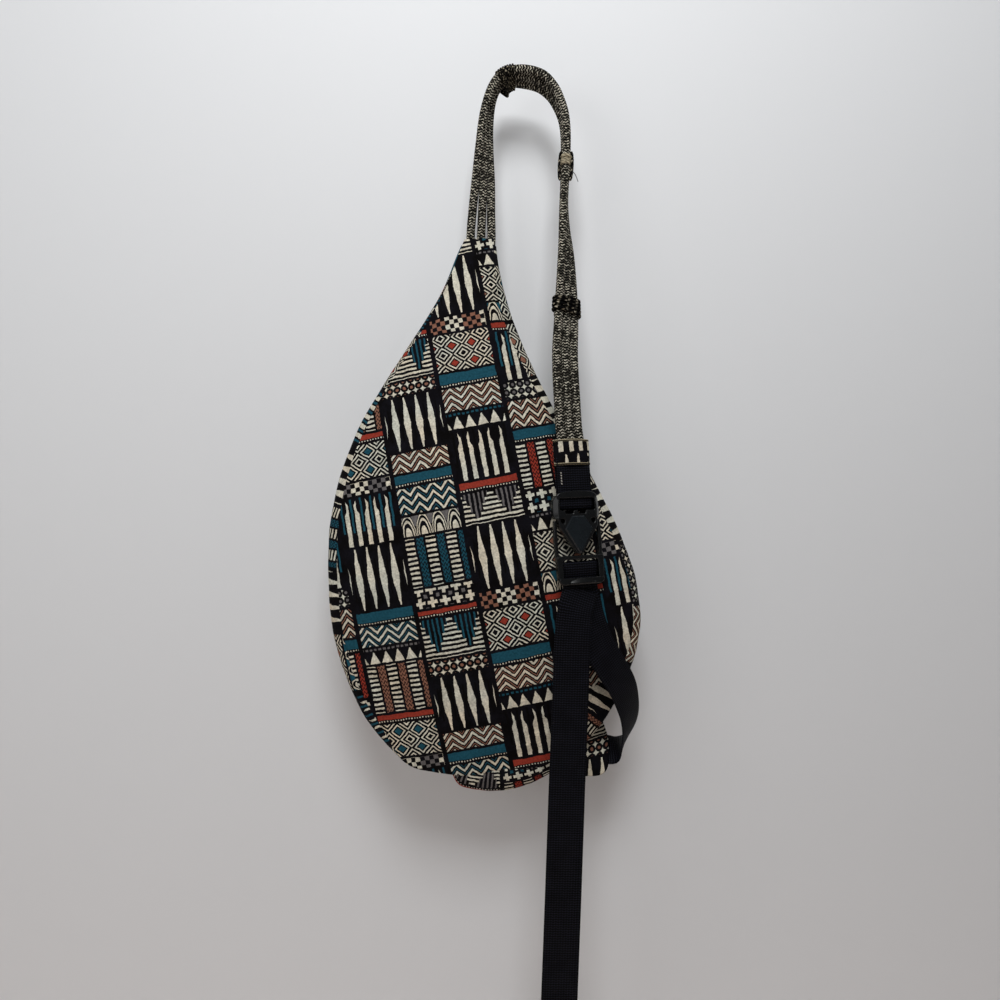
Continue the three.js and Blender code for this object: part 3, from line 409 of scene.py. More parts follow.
def mix(a, b, t):
    return a + (b - a) * t


def bell(x, middle, reach):
    """A soft hump of height 1."""
    return np.exp(-(((x - middle) / reach) ** 2))


def wrinkle(x, y, z, size, seed):
    """Smooth noise between about -1 and 1."""
    return noise.noise(Vector((x / size + seed, y / size - seed, z / size + 2 * seed)))


def spline(points, count):
    """A smooth curve through points, at equal steps of the points' own count."""
    points = np.asarray(points, float)
    padded = np.vstack([2 * points[0] - points[1], points, 2 * points[-1] - points[-2]])
    made = []
    for t in np.linspace(0, len(points) - 1, count):
        i = min(int(t), len(points) - 2)
        w = t - i
        p0, p1, p2, p3 = padded[i : i + 4]
        m1, m2 = (p2 - p0) / 2, (p3 - p1) / 2
        made.append(
            (2 * w**3 - 3 * w**2 + 1) * p1
            + (w**3 - 2 * w**2 + w) * m1
            + (3 * w**2 - 2 * w**3) * p2
            + (w**3 - w**2) * m2
        )
    return np.array(made)


def read_rows(places, stations, rows):
    """Rows of values at places between the stations where they are known."""
    return np.stack([np.interp(places, stations, column) for column in np.transpose(rows)], axis=-1)


def lengths_along(path):
    """Distance along a path to each of its points."""
    return np.concatenate([[0], np.cumsum(np.linalg.norm(np.diff(path, axis=0), axis=1))])


def even_path(path, step):
    """The same path with points a step apart."""
    along = lengths_along(path)
    places = np.linspace(0, along[-1], max(2, round(along[-1] / step) + 1))
    return read_rows(places, along, path)


# Mesh helpers


def make_mesh(name, points, faces, corner_uvs=None, smooth=True):
    """A mesh object from points in millimetres, with one pair of UVs for each corner of each face."""
    mesh = bpy.data.meshes.new(name)
    mesh.from_pydata((np.asarray(points, float) * MM).tolist(), [], faces)
    if corner_uvs is not None:
        layer = mesh.uv_layers.new(name="UVMap")
        layer.data.foreach_set("uv", np.asarray(corner_uvs, float).ravel())
    mesh.polygons.foreach_set("use_smooth", [smooth] * len(mesh.polygons))
    piece = bpy.data.objects.new(name, mesh)
    bpy.context.collection.objects.link(piece)
    return piece


def grid_faces(columns, rows, wrap=False):
    """Quads of a grid of points that is stored column by column."""
    faces = []
    for i in range(columns - 1):
        for j in range(rows if wrap else rows - 1):
            k = (j + 1) % rows
            faces.append((i * rows + j, (i + 1) * rows + j, (i + 1) * rows + k, i * rows + k))
    return faces


def flipped(faces):
    return [tuple(reversed(face)) for face in faces]


def shifted(faces, first):
    """The same faces on points that start later in the list."""
    return [tuple(first + k for k in face) for face in faces]


def at_corners(faces, uvs):
    """UVs of each corner of each face, from those of each point."""
    return [uvs[k] for face in faces for k in face]


def merge_points(piece, distance=0.01):
    """Merges points that fall together, and drops faces that have no area."""
    work = bmesh.new()
    work.from_mesh(piece.data)
    bmesh.ops.remove_doubles(work, verts=work.verts, dist=distance * MM)
    bmesh.ops.dissolve_degenerate(work, edges=work.edges, dist=distance * MM / 10)
    bmesh.ops.recalc_face_normals(work, faces=work.faces)
    work.to_mesh(piece.data)
    work.free()


def add_modifier(piece, name, kind, **settings):
    modifier = piece.modifiers.new(name, kind)
    for key, value in settings.items():
        setattr(modifier, key, value)


def add_bevel(piece, width, segments=3):
    """Rounds the sharp edges of a piece."""
    angle = math.radians(BEVEL_ANGLE_DEG)
    settings = {"width": width * MM, "segments": segments, "limit_method": "ANGLE", "angle_limit": angle}
    add_modifier(piece, "rounded edges", "BEVEL", harden_normals=True, **settings)


def make_cloth(name, points, faces, uvs, thickness=CLOTH, merge=False):
    """A sheet of cloth that is thick towards its inner side, from points with a pair of UVs each."""
    cloth = make_mesh(name, points, faces, at_corners(faces, uvs))
    if merge:
        merge_points(cloth)
    add_modifier(cloth, "thickness", "SOLIDIFY", thickness=thickness * MM, offset=-1)
    return cloth


def make_sweep(name, rings, ring_us, along, cap_us):
    """A closed tube through rings of points. Its UVs run round each ring and along the tube."""
    count = rings.shape[1]
    faces = grid_faces(len(rings), count, wrap=True)
    uvs = []
    for low, high in zip(along, along[1:]):
        for left, right in zip(ring_us, ring_us[1:]):
            uvs += [(left, low), (left, high), (right, high), (right, low)]
    last = (len(rings) - 1) * count
    faces += [tuple(range(count)), tuple(last + k for k in reversed(range(count)))]
    uvs += [(u, along[0]) for u in cap_us] + [(u, along[-1]) for u in cap_us[::-1]]
    return make_mesh(name, rings.reshape(-1, 3), faces, uvs)


def path_frames(path, first_side=(0.31, -0.87, 0.38)):
    """Two directions square to a path at each point, carried along it without twist."""
    tangents = unit(np.gradient(path, axis=0))
    side = np.array(first_side, float)
    sides = []
    for tangent in tangents:
        side = unit(side - tangent * (side @ tangent))
        sides.append(side)
    return np.array(sides), np.cross(tangents, sides)


def make_tube(name, path, radius, sides, u_scale=1, v_scale=1):
    """A closed tube. The radius is a number, or an array with a row for each point of the path."""
    side, other = path_frames(path)
    angles = 2 * math.pi * np.arange(sides)[:, None] / sides
    ring = np.cos(angles) * side[:, None] + np.sin(angles) * other[:, None]
    rings = path[:, None] + np.broadcast_to(radius, (len(path), sides))[..., None] * ring
    around = np.arange(sides + 1) / sides * u_scale
    return make_sweep(name, rings, around, lengths_along(path) * v_scale, [0] * sides)


def make_ribbon(name, middles, acrosses, width=WEBBING_W, thickness=WEBBING_T):
    """A flat webbing with soft edges along a row of middles, with the direction of its width at each."""
    middles = np.asarray(middles, float)
    tangents = unit(np.gradient(middles, axis=0))
    acrosses = np.broadcast_to(acrosses, middles.shape)
    acrosses = unit(acrosses - tangents * np.sum(acrosses * tangents, axis=1, keepdims=True))
    outs = np.cross(tangents, acrosses)
    places = np.sin(np.linspace(-math.pi / 2, math.pi / 2, RIBBON_SEGMENTS + 1))
    half_t = thickness / 2 * (1 - 0.55 * np.abs(places) ** 10)
    a = np.concatenate([places, places[::-1]]) * width / 2
    b = np.concatenate([half_t, -half_t[::-1]])
    rings = middles[:, None] + a[:, None] * acrosses[:, None] + b[:, None] * outs[:, None]
    return make_sweep(name, rings, [*a, a[0]], lengths_along(middles), a)


# Piece helpers


def join_pieces(name, pieces):
    """Several meshes as one piece that keeps each one's material."""
    bpy.ops.object.select_all(action="DESELECT")
    for piece in pieces:
        piece.select_set(True)
    bpy.context.view_layer.objects.active = pieces[0]
    bpy.ops.object.join()
    pieces[0].name = name
    return pieces[0]


def finish_piece(piece, cloth=None, body="bag", nodes=()):
    """Material, body and replaced nodes of a piece."""
    if cloth:
        piece.data.materials.clear()
        piece.data.materials.append(cloth)
    if body:
        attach(piece, body)
    if nodes:
        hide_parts(*nodes)
    return piece


# Body formulas, as in the solids


def bezier(a, b, c, d):
    t = np.linspace(0, 1, OUTLINE_SAMPLES + 1)[:, None]
    return a * (1 - t) ** 3 + 3 * b * t * (1 - t) ** 2 + 3 * c * t**2 * (1 - t) + d * t**3


def body_outline():
    """The outline from the left of the tip, round the bottom, to the right of the tip."""
    left_tip = np.array([SPINE_X - TIP_WIDTH / 2, TIP_Z])
    leftmost = np.array([SPINE_X - LEFT_REACH, TIP_Z - LEFT_DROP])
    bottom = np.array([SPINE_X + BOTTOM_SHIFT, TIP_Z - BODY_HEIGHT])
    rightmost = np.array([SPINE_X + RIGHT_REACH, TIP_Z - RIGHT_DROP])
    right_tip = np.array([SPINE_X + TIP_WIDTH / 2, TIP_Z])
    right_out, right_down = RIGHT_NECK_HANDLE
    stretches = [
        bezier(left_tip, left_tip - LEFT_NECK_HANDLE, leftmost + (0, LEFT_BELLY_RISE), leftmost),
        bezier(leftmost, leftmost - (0, LEFT_BELLY_FALL), bottom - (BOTTOM_LEFT_HANDLE, 0), bottom),
        bezier(bottom, bottom + (BOTTOM_RIGHT_HANDLE, 0), rightmost - (0, RIGHT_BELLY_FALL), rightmost),
        bezier(rightmost, rightmost + (0, RIGHT_BELLY_RISE), right_tip + (right_out, -right_down), right_tip),
    ]
    return np.vstack([stretches[0], *(stretch[1:] for stretch in stretches[1:])])


OUTLINE = body_outline()
LOWEST = int(np.argmin(OUTLINE[:, 1]))
BELLY = np.array([SPINE_X, TIP_Z - SPINE_DROP])


def edge_at(z, side):
    """Where one side of the outline has the height z."""
    path = OUTLINE[: LOWEST + 1][::-1] if side < 0 else OUTLINE[LOWEST:]
    return np.interp(z, path[:, 1], path[:, 0])


def fullness(drop):
    """How full the body is at a drop below the tip."""
    slope = 2 / (TAPER_DROP + SPINE_DROP)
    if drop <= TAPER_DROP:
        return slope * drop
    rest = min(drop, SPINE_DROP) - TAPER_DROP
    return slope * (TAPER_DROP + rest - rest * rest / (2 * (SPINE_DROP - TAPER_DROP)))


def front_y(z):
    return TIP_HALF_DEPTH + (FRONT_BOTTOM_Y - TIP_HALF_DEPTH) / BODY_HEIGHT * (TIP_Z - z)


def body_stations(start_drop):
    """Stations round the outline: edge, spine, inward direction and fullness, one row each."""
    drops = np.linspace(start_drop, SPINE_DROP, NECK_ROWS + 1)[:-1]
    heights = TIP_Z - drops
    bulge, bulge_drop, bulge_reach = TIP_BULGE
    left = edge_at(heights, -1) - bulge * bell(drops, bulge_drop, bulge_reach)
    right = edge_at(heights, 1)
    lower = OUTLINE[OUTLINE[:, 1] <= BELLY[1] + 1]
    angles = np.mod(np.arctan2(lower[:, 1] - BELLY[1], lower[:, 0] - BELLY[0]), 2 * math.pi)
    angles = np.where(angles < math.pi / 2, angles + 2 * math.pi, angles)
    rays = math.pi + math.pi * np.arange(BELLY_RAYS + 1) / BELLY_RAYS
    round_belly = read_rows(rays, angles, lower)
    edges = np.vstack([np.stack([left, heights], 1), round_belly, np.stack([right, heights], 1)[::-1]])
    neck = np.stack([np.full(NECK_ROWS, SPINE_X), heights], axis=1)
    spines = np.vstack([neck, np.tile(BELLY, (BELLY_RAYS + 1, 1)), neck[::-1]])
    neck_full = np.array([fullness(drop) for drop in drops])
    full = np.concatenate([neck_full, np.ones(BELLY_RAYS + 1), neck_full[::-1]])
    tangents = unit(np.gradient(edges, axis=0))
    inward = np.stack([-tangents[:, 1], tangents[:, 0]], axis=1)
    return edges, spines, inward, full


# Node helpers


def feed(tree, socket, value):
    """Gives a socket a number, a colour or the output of another node."""
    value = value.source if isinstance(value, Num) else value
    if isinstance(value, tuple):
        socket.default_value = (*value, 1)
    elif isinstance(value, (int, float)):
        socket.default_value = value
    else:
        tree.links.new(value, socket)


def add_node(tree, kind, inputs=(), **settings):
    """A node with its settings and the values of its inputs, by name or number."""
    node = tree.nodes.new("ShaderNode" + kind)
    for key, value in settings.items():
        setattr(node, key, value)
    for key, value in dict(inputs).items():
        feed(tree, node.inputs[key], value)
    return node


class Num:
    """A number in a node tree. Arithmetic on it adds Math nodes."""

    def __init__(self, tree, source):
        self.tree = tree
        self.source = source

    def apply(self, operation, *others):
        node = add_node(self.tree, "Math", enumerate((self, *others)), operation=operation)
        return Num(self.tree, node.outputs[0])

    __add__ = __radd__ = partialmethod(apply, "ADD")
    __sub__ = partialmethod(apply, "SUBTRACT")
    __mul__ = partialmethod(apply, "MULTIPLY")
    __truediv__ = partialmethod(apply, "DIVIDE")
    __lt__ = partialmethod(apply, "LESS_THAN")
    __gt__ = partialmethod(apply, "GREATER_THAN")
    floor = partialmethod(apply, "FLOOR")
    fract = partialmethod(apply, "FRACT")
    size = partialmethod(apply, "ABSOLUTE")
    least = partialmethod(apply, "MINIMUM")
    most = partialmethod(apply, "MAXIMUM")

    def within(self, period):
        """The remainder after whole periods."""
        return (self / period).fract() * period

    def is_near(self, value):
        return self.apply("COMPARE", value, 0.5)

    def odd(self):
        """1 where the whole part is odd."""
        return (self.floor() * 0.5).fract() > 0.25

    def wave(self):
        """A zigzag from 1 down to 0 and back, once for each whole step."""
        return (self.fract() * 2 - 1).size()

    def inverse(self):
        return Num(self.tree, 1.0) - self


def new_material(name):
    made = bpy.data.materials.new(name)
    made.use_nodes = True
    return made, made.node_tree, made.node_tree.nodes["Principled BSDF"]


def set_surface(tree, shader, colour, roughness, specular=0.5, metallic=0.0):
    """Base colour, roughness and shine of a material."""
    feed(tree, shader.inputs["Base Color"], colour)
    feed(tree, shader.inputs["Roughness"], roughness)
    feed(tree, shader.inputs["Specular IOR Level"], specular)
    feed(tree, shader.inputs["Metallic"], metallic)


def uv_numbers(tree):
    """The two UV coordinates as numbers."""
    split = add_node(tree, "SeparateXYZ", {0: add_node(tree, "UVMap").outputs["UV"]})
    return Num(tree, split.outputs["X"]), Num(tree, split.outputs["Y"])


def noise_at(tree, place, scale=1.0, detail=2.0):
    """Noise between 0 and 1 over a place."""
    node = add_node(tree, "TexNoise", {"Vector": place, "Scale": scale, "Detail": detail})
    return Num(tree, node.outputs["Fac"])


def noise_number(tree, u, v, size, detail=2.0):
    """Noise between 0 and 1 over two coordinates in millimetres."""
    place = add_node(tree, "CombineXYZ", {"X": u / size, "Y": v / size}).outputs[0]
    return noise_at(tree, place, 1.0, detail)


def patches(tree, u, v, size):
    """Soft patches from 0 to 1 over two coordinates in millimetres."""
    return ((noise_number(tree, u, v, size, 3) - 0.36) * 3.5).least(1).most(0)


def mix_colours(tree, factor, first, second):
    """One colour turning into another. Each is a triple or a socket."""
    return add_node(tree, "Mix", {6: first, 7: second, 0: factor}, data_type="RGBA").outputs[2]


def scale_colour(tree, colour, factor):
    """A colour made lighter or darker."""
    return add_node(tree, "VectorMath", {0: colour, "Scale": factor}, operation="SCALE").outputs[0]


def shade(colour, factor):
    return tuple(factor * channel for channel in colour)


def add_bump(tree, shader, height, distance, strength):
    """Fine relief from a height in millimetres."""
    node = add_node(tree, "Bump", {"Strength": strength, "Distance": distance * MM, "Height": height})
    feed(tree, shader.inputs["Normal"], node.outputs[0])


# Printed canvas


def print_cells(column, height):
    """The cell that a place falls in: its motif and accent, the height in the cell, and the cell's height."""
    place = height + column * COLUMN_REPEAT
    before = (0, 0, 0, 0)
    steps = []
    for i, bands in enumerate(PRINT_COLUMNS):
        start = i * COLUMN_REPEAT
        for tall, kind, colour in bands:
            now = (kind, ACCENTS.index(colour), start, tall)
            inside = place > start - 1e-3
            steps.append([inside * (b - a) for a, b in zip(before, now)])
            before = now
            start += tall
    motif, accent, lower, tall = (sum(row) for row in zip(*steps))
    return motif, accent, place - lower, tall


def print_motifs(x, y, tall):
    """Cream and accent shapes of each motif at x and y in a cell, by the motif's number."""
    half, third, quarter, fifth, sixth = (COLUMN_W / parts for parts in range(2, 7))
    rise = y / tall
    fifth_wave = (x / fifth).wave()
    swell = (rise - 0.5).size() * 2
    zigzag = ((y + (x / quarter).wave() * 8) / 8.2).fract()
    squares = ((x / 4.2).odd() - (y / 4.2).odd()).size()
    square_pairs = (x / 16.8).odd()
    lozenge = (x / third).wave() + (y / 17 + 0.5).wave()
    ring = (lozenge * 2.1).fract()
    slant = ((y + (x / third).wave() * third * 0.5) / 7).fract()
    ticks = (y < 2.4) * ((x / 2.6).fract() < 0.4) * (y > 0.6)
    beads = (rise > 0.82) * ((x / 4.2).fract() < 0.6)
    bay = (x / third).fract()
    rung = ((y / 4.4).fract() < 0.46) * (bay > 0.1) * (bay < 0.56)
    rail = (bay > 0.66) * (((y + (x / 3).wave() * 3) / 4).fract() < 0.62)
    dot_x, dot_y = (x / 7.1).wave(), (y / 7.1 + 0.5).wave()
    round_dot = dot_x * dot_x + dot_y * dot_y
    arc_x = (x / quarter).fract() - 0.5
    arc = (arc_x * arc_x * 4 + rise * rise * 0.9) * 2.6
    arm_x, arm_y = (((place / fifth).fract() - 0.5).size() for place in (x, y))
    near, far = arm_x.least(arm_y), arm_x.most(arm_y)
    picket = (x / sixth).wave()
    picket_top = (x / sixth).floor().odd() * 0.2 + 0.74 - picket.inverse() * 0.22
    stair = ((x / half).wave() * 5).floor() / 5
    climb = (rise * 5).floor() / 5 - 0.1
    return {
        LEAVES: (fifth_wave > swell * 0.5 + 0.42, (fifth_wave < 0.12) * (swell < 0.6)),
        CHEVRONS: (zigzag < 0.34, (zigzag > 0.58) * (zigzag < 0.72)),
        CHECK: (squares * square_pairs, squares * square_pairs.inverse()),
        LOZENGES: ((ring > 0.62) * (lozenge < 1.5), lozenge > 1.62),
        HERRINGBONE: (slant < 0.36, (slant > 0.6) * (slant < 0.74)),
        BLOCK: (ticks, (y > 3.2) * (x > 2) * (x < 55)),
        SAWTOOTH: ((fifth_wave > rise * 1.25 + 0.05) * (rise < 0.72), beads),
        LADDER: (rung, rail),
        DOTS: (round_dot > 1.0, round_dot < 0.16),
        SCALLOPS: ((arc.fract() < 0.45) * (arc < 2.6), (arc > 2.7) * (rise > 0.5)),
        CROSSES: ((near < 0.13) * (far < 0.4), (near > 0.36) * (far > 0.36)),
        PICKETS: ((picket > 0.58) * (rise < picket_top), (picket < 0.2) * (rise > 0.3)),
        STEPS: ((stair > climb) * ((y / 4.2).fract() < 0.46), (stair < climb) * ((x / 4.2).fract() < 0.4)),
    }


def printed_canvas(name, turn_deg=PRINT_TURN_DEG, shift=(0, 0)):
    """Woven canvas with a patchwork print. UVs are in millimetres."""
    made, tree, shader = new_material(name)
    u, v = uv_numbers(tree)
    drawn_u = u + (noise_number(tree, u, v, 9) - 0.5) * 1.9 + (noise_number(tree, u, v, 2.2) - 0.5) * 0.9
    drawn_v = v + (noise_number(tree, v + 40, u, 9) - 0.5) * 2.2
    drawn_v = drawn_v + (noise_number(tree, v, u + 70, 2.2) - 0.5) * 0.9
    c, s = math.cos(math.radians(turn_deg)), math.sin(math.radians(turn_deg))
    x = drawn_u * c + drawn_v * s + shift[0]
    y = drawn_v * c - drawn_u * s + shift[1]
    column = (x / COLUMN_W).floor()
    across = x - column * COLUMN_W
    set_number = (column / len(PRINT_COLUMNS)).floor()
    column = column - set_number * len(PRINT_COLUMNS)
    height = (y + set_number * COLUMN_LIFT).within(COLUMN_REPEAT)
    motif, accent, rise, tall = print_cells(column, height)
    clear = (across > COLUMN_GAP) * (across < COLUMN_W - COLUMN_GAP)
    clear = clear * (rise > CELL_GAP) * (rise < tall - CELL_GAP)
    chosen = [(motif.is_near(kind), pair) for kind, pair in print_motifs(across, rise, tall).items()]
    cream = sum(plain * near for near, (plain, _) in chosen)
    tinted = sum(colour * near for near, (_, colour) in chosen)
    tone = ACCENTS[0]
    for k, colour in enumerate(ACCENTS[1:]):
        tone = mix_colours(tree, accent > k + 0.5, tone, colour)
    ground = mix_colours(tree, patches(tree, v, u, 14), GROUND, COOL_GROUND)
    printed = mix_colours(tree, tinted * clear, ground, tone)
    faded = mix_colours(tree, patches(tree, u, v, 42), COOL_CREAM, WARM_CREAM)
    faded = scale_colour(tree, faded, patches(tree, u, v, 7) * 0.24 + 0.78)
    printed = mix_colours(tree, cream * clear, printed, faded)
    weave = ((u / YARN).wave() - 0.5) * ((v / YARN).wave() - 0.5)
    speckle_and_weave_shade = noise_number(tree, u, v, 1.9, 4) * 1.2 + noise_number(tree, u, v, 24) * 0.3
    # Painted shade of the weave: the weave term makes the print lighter on the yarns' crests and darker
    # between them. The noise terms are random tone.
    speckle_and_weave_shade = speckle_and_weave_shade + weave * 0.35 + 0.23
    set_surface(tree, shader, scale_colour(tree, printed, speckle_and_weave_shade), roughness=0.88, specular=0.06)
    add_bump(tree, shader, weave + noise_number(tree, u, v, 1.6) * 0.6, distance=0.16, strength=0.7)
    return made


# Other materials


def braid_numbers(u, v):
    """Where a point of a braid lies across and along the yarn on top, and that yarn's number."""
    first, second = u - v, u + v
    over = ((first.floor() + second.floor()) * 0.25).fract() < 0.45
    under = over.inverse()
    first_along = ((first.floor() + second) * 0.25).fract() * 2
    second_along = ((second.floor() + first) * 0.25).fract() * 2 - 1
    across = over * first.fract() + under * second.fract()
    along = over * first_along + under * second_along
    return across, along, over * first.floor() + under * second.floor()


def braided_cord(name, dark, pale, pale_every=2):
    """Braided cord with dark and pale yarns, and painted shade in the grooves between the yarns. UVs count
    the braid's cells.
    """
    made, tree, shader = new_material(name)
    u, v = uv_numbers(tree)
    across, along, index = braid_numbers(u, v)
    is_pale = (index / pale_every).fract() < (0.5 / pale_every)
    fibre = noise_number(tree, across * 30, along * 4, 1)
    fleck = noise_number(tree, index * 7.3 + 0.37, (v * 0.8).floor() * 3.1, 1.0, 0)
    edge = (across - 0.5).size() * 2
    end = (along - 0.5).size() * 2
    relief_and_groove_shade = (edge * edge * edge).inverse() * (end.apply("POWER", 4).inverse() * 0.6 + 0.4)
    colour = mix_colours(tree, is_pale * ((fleck - 0.42) * 6).least(1).most(0.08), dark, pale)
    # Painted shade: each yarn's colour darkens towards its edges and ends, in the grooves between yarns.
    light = (fibre * 0.6 + 0.7) * (relief_and_groove_shade * 0.95 + 0.05)
    set_surface(tree, shader, scale_colour(tree, colour, light), roughness=0.8, specular=0.03)
    add_bump(tree, shader, relief_and_groove_shade + fibre * 0.25, distance=0.35, strength=0.8)
    return made


def webbing_cloth(name, colour, rib=2.3, pick=2.1):
    """Woven nylon webbing with fine ribs and picks, and painted shade and highlights on them. UVs are in
    millimetres, across and along.
    """
    made, tree, shader = new_material(name)
    u, v = uv_numbers(tree)
    warp = (u / rib).wave()
    weft = (v / pick + (u / rib).floor().odd() * 0.15).wave()
    height = warp * 0.36 + weft * 0.74
    # Painted shade and highlight: the colour runs from 0.05 to 8 times the webbing's own, darker between the
    # ribs and picks and lighter on their crests. The noise adds random tone.
    light = height * 1.5 + noise_number(tree, u, v, 0.5, 3) * 0.3 + noise_number(tree, u, v, 14) * 0.4 - 1.1
    base = mix_colours(tree, light.least(1).most(0), shade(colour, 0.05), shade(colour, 8))
    set_surface(tree, shader, base, roughness=0.62, specular=0.06)
    add_bump(tree, shader, height, distance=0.25, strength=0.9)
    return made


def moulded_plastic(name, colour):
    """Black buckle plastic with a fine moulded grain."""
    made, tree, shader = new_material(name)
    place = add_node(tree, "TexCoord").outputs["Object"]
    wear = noise_at(tree, place, scale=140)
    base = mix_colours(tree, wear, shade(colour, 0.7), shade(colour, 1.5))
    set_surface(tree, shader, base, roughness=wear * 0.14 + 0.2, specular=0.4)
    grain = noise_at(tree, place, scale=2600, detail=3)
    add_bump(tree, shader, grain, distance=0.06, strength=0.35)
    return made


def zip_metal(name):
    """Dull nickel with fine scratches."""
    made, tree, shader = new_material(name)
    scratch = noise_at(tree, add_node(tree, "TexCoord").outputs["Object"], scale=900, detail=5)
    base = mix_colours(tree, scratch, (0.24, 0.24, 0.245), (0.5, 0.5, 0.51))
    set_surface(tree, shader, base, roughness=scratch * 0.25 + 0.25, metallic=1.0)
    return made


def thread(name, colour):
    """Sewing thread with a twist, and painted shade in the grooves of the twist."""
    made, tree, shader = new_material(name)
    u, v = uv_numbers(tree)
    twist = (u + v * 2.2).wave()
    # Painted shade: the colour drops to 0.6 of itself in the grooves of the twist.
    set_surface(tree, shader, mix_colours(tree, twist, shade(colour, 0.6), colour), roughness=0.7)
    add_bump(tree, shader, twist, distance=0.1, strength=0.6)
    return made


PANEL_PRINT = printed_canvas("panel print")
GUSSET_PRINT = printed_canvas("gusset print", turn_deg=4, shift=(20, -44))
TAB_PRINT = printed_canvas("tab print", turn_deg=3, shift=(31, 12))
ROPE_CLOTH = braided_cord("rope braid", (0.0024, 0.0021, 0.0017), (0.64, 0.595, 0.485))
LACE_CLOTH = braided_cord("lace braid", (0.0035, 0.0032, 0.0032), (0.42, 0.37, 0.28), pale_every=4)
HOOK_LACE = braided_cord("hook lace", (0.0026, 0.0022, 0.0024), (0.4, 0.35, 0.25), pale_every=3)
TAN_LACE = braided_cord("tan lace", (0.36, 0.305, 0.21), (0.5, 0.43, 0.3), pale_every=1)
HEM_CLOTH = webbing_cloth("hem weave", (0.11, 0.092, 0.06), rib=0.7)
BLACK_WEBBING = webbing_cloth("black webbing", (0.0026, 0.0027, 0.0042))
ZIP_CLOTH = webbing_cloth("zip tape weave", (0.012, 0.012, 0.014), rib=0.8)
BUCKLE_PLASTIC = moulded_plastic("buckle plastic", (0.001, 0.0012, 0.0015))
# Painted sheen: the kite's plastic is a lighter, bluer copy of the buckle's black plastic, standing in for
# the light its face catches.
KITE_PLASTIC_PAINTED_SHEEN = moulded_plastic("kite plastic painted sheen", (0.0035, 0.0058, 0.0078))
METAL = zip_metal("zip metal")
PALE_THREAD = thread("pale thread", (0.55, 0.52, 0.46))
DARK_THREAD = thread("dark thread", (0.02, 0.02, 0.022))


# Bag body


def back_seam_inset(edges, full):
    """How far the back seam lies in from the outline, which varies by the edge's place."""
    x, z = edges.T
    share = np.ones(len(edges))
    for more, at_x, reach_x, at_z, reach_z in SEAM_SWELLS:
        share += more * bell(x, at_x, reach_x) * bell(z, at_z, reach_z)
    for more, at_z, reach_z in RIGHT_SEAM_SWELLS:
        share += more * bell(z, at_z, reach_z) * (x > SPINE_X)
    return mix(TIP_SEAM_INSET, BACK_SEAM_INSET, full) * share


def crease(x, z, start, end, depth, width):
    """A pressed-in line between two places, with a soft lip on each side."""
    place, first, last = Vector((x, z)), Vector(start), Vector(end)
    span = last - first
    share = min(1, max(0, (place - first).dot(span) / span.length_squared))
    away = (place - first - span * share).length / width
    section = 0.45 * math.exp(-((away - 1.7) ** 2)) - math.exp(-(away**2))
    return depth * section * math.sin(math.pi * (0.1 + 0.8 * share))


def panel_folds(x, z):
    """How far soft folds lift the back panel, in millimetres."""
    drop = TIP_Z - z
    lean = (x - SPINE_X) / (30 + 0.42 * drop)
    folds = 1.5 * bell(drop, 70, 75) * math.sin(9 * lean + 0.6 * wrinkle(x, 0, z, 60, 3))
    broad = 2.2 * wrinkle(x, 0, z * 0.7, 85, 11) + 0.9 * wrinkle(x + 0.4 * z, 0, z, 34, 5)
    fine = 0.28 * wrinkle(x, 0, z, 11, 9)
    pressed = sum(crease(x, z, *line) for line in PANEL_CREASES) if z < CREASES_BELOW_Z else 0
    return folds + broad * min(1, drop / 120) + fine + pressed


def make_back_panel():
    """The crowned panel that faces the camera, rolled over at its seam."""
    edges, spines, inward, full = body_stations(0)
    rims = edges + inward * back_seam_inset(edges, full)[:, None]
    seam_y = mix(-TIP_HALF_DEPTH, BACK_SEAM_Y, full)
    crown = mix(TIP_CROWN, BACK_CROWN, full)
    along = lengths_along(rims)
    points = []
    for i, rim in enumerate(rims):
        for j in range(PANEL_RINGS + 1):
            r = j / PANEL_RINGS
            x, z = mix(spines[i], rim, r)
            away = np.linalg.norm(rim - (x, z))
            pucker = math.exp(-away / 7) * wrinkle(along[i], 0, away, 9, 21) * full[i]
            lift = panel_folds(x, z) * min(1, away / 18) + pucker
            points.append((x, seam_y[i] - crown[i] * (1 - r * r) - lift, z))
        for out, turn in SEAM_ROLL:
            x, z = rim - inward[i] * out * min(1, full[i] * 4)
            points.append((x, seam_y[i] + turn * min(1, 0.3 + full[i] * 2), z))
    faces = grid_faces(len(rims), PANEL_RINGS + 1 + len(SEAM_ROLL))
    return make_cloth("back_panel_cloth", points, faces, [(x, z) for x, _, z in points], merge=True)


def gusset_ripple(along, t):
    """Folds across the gusset's middle and puckers at its seams, in millimetres."""
    middle = 4 * t * (1 - t)
    broad = 1.5 * wrinkle(along, 30 * t, 0, 26, 2) + 1.2 * wrinkle(along, 12 * t, 5, 60, 4)
    return broad * middle + 0.5 * wrinkle(along, 50 * t, 0, 8, 6) * (1 - middle)


def bottom_pull(x, z, t):
    """How far the notch draws the gusset in at the bottom, less the sag beside it."""
    if z >= BOTTOM_BELOW_Z:
        return 0
    notch_x, left_reach, right_reach, notch_in = BOTTOM_NOTCH
    notch = notch_in * bell(x, notch_x, left_reach if x < notch_x else right_reach)
    sag_x, sag_reach, sag_out = BOTTOM_SAG
    return notch * (0.35 + 0.65 * (1 - t)) - sag_out * bell(x, sag_x, sag_reach) * 4 * t * (1 - t)


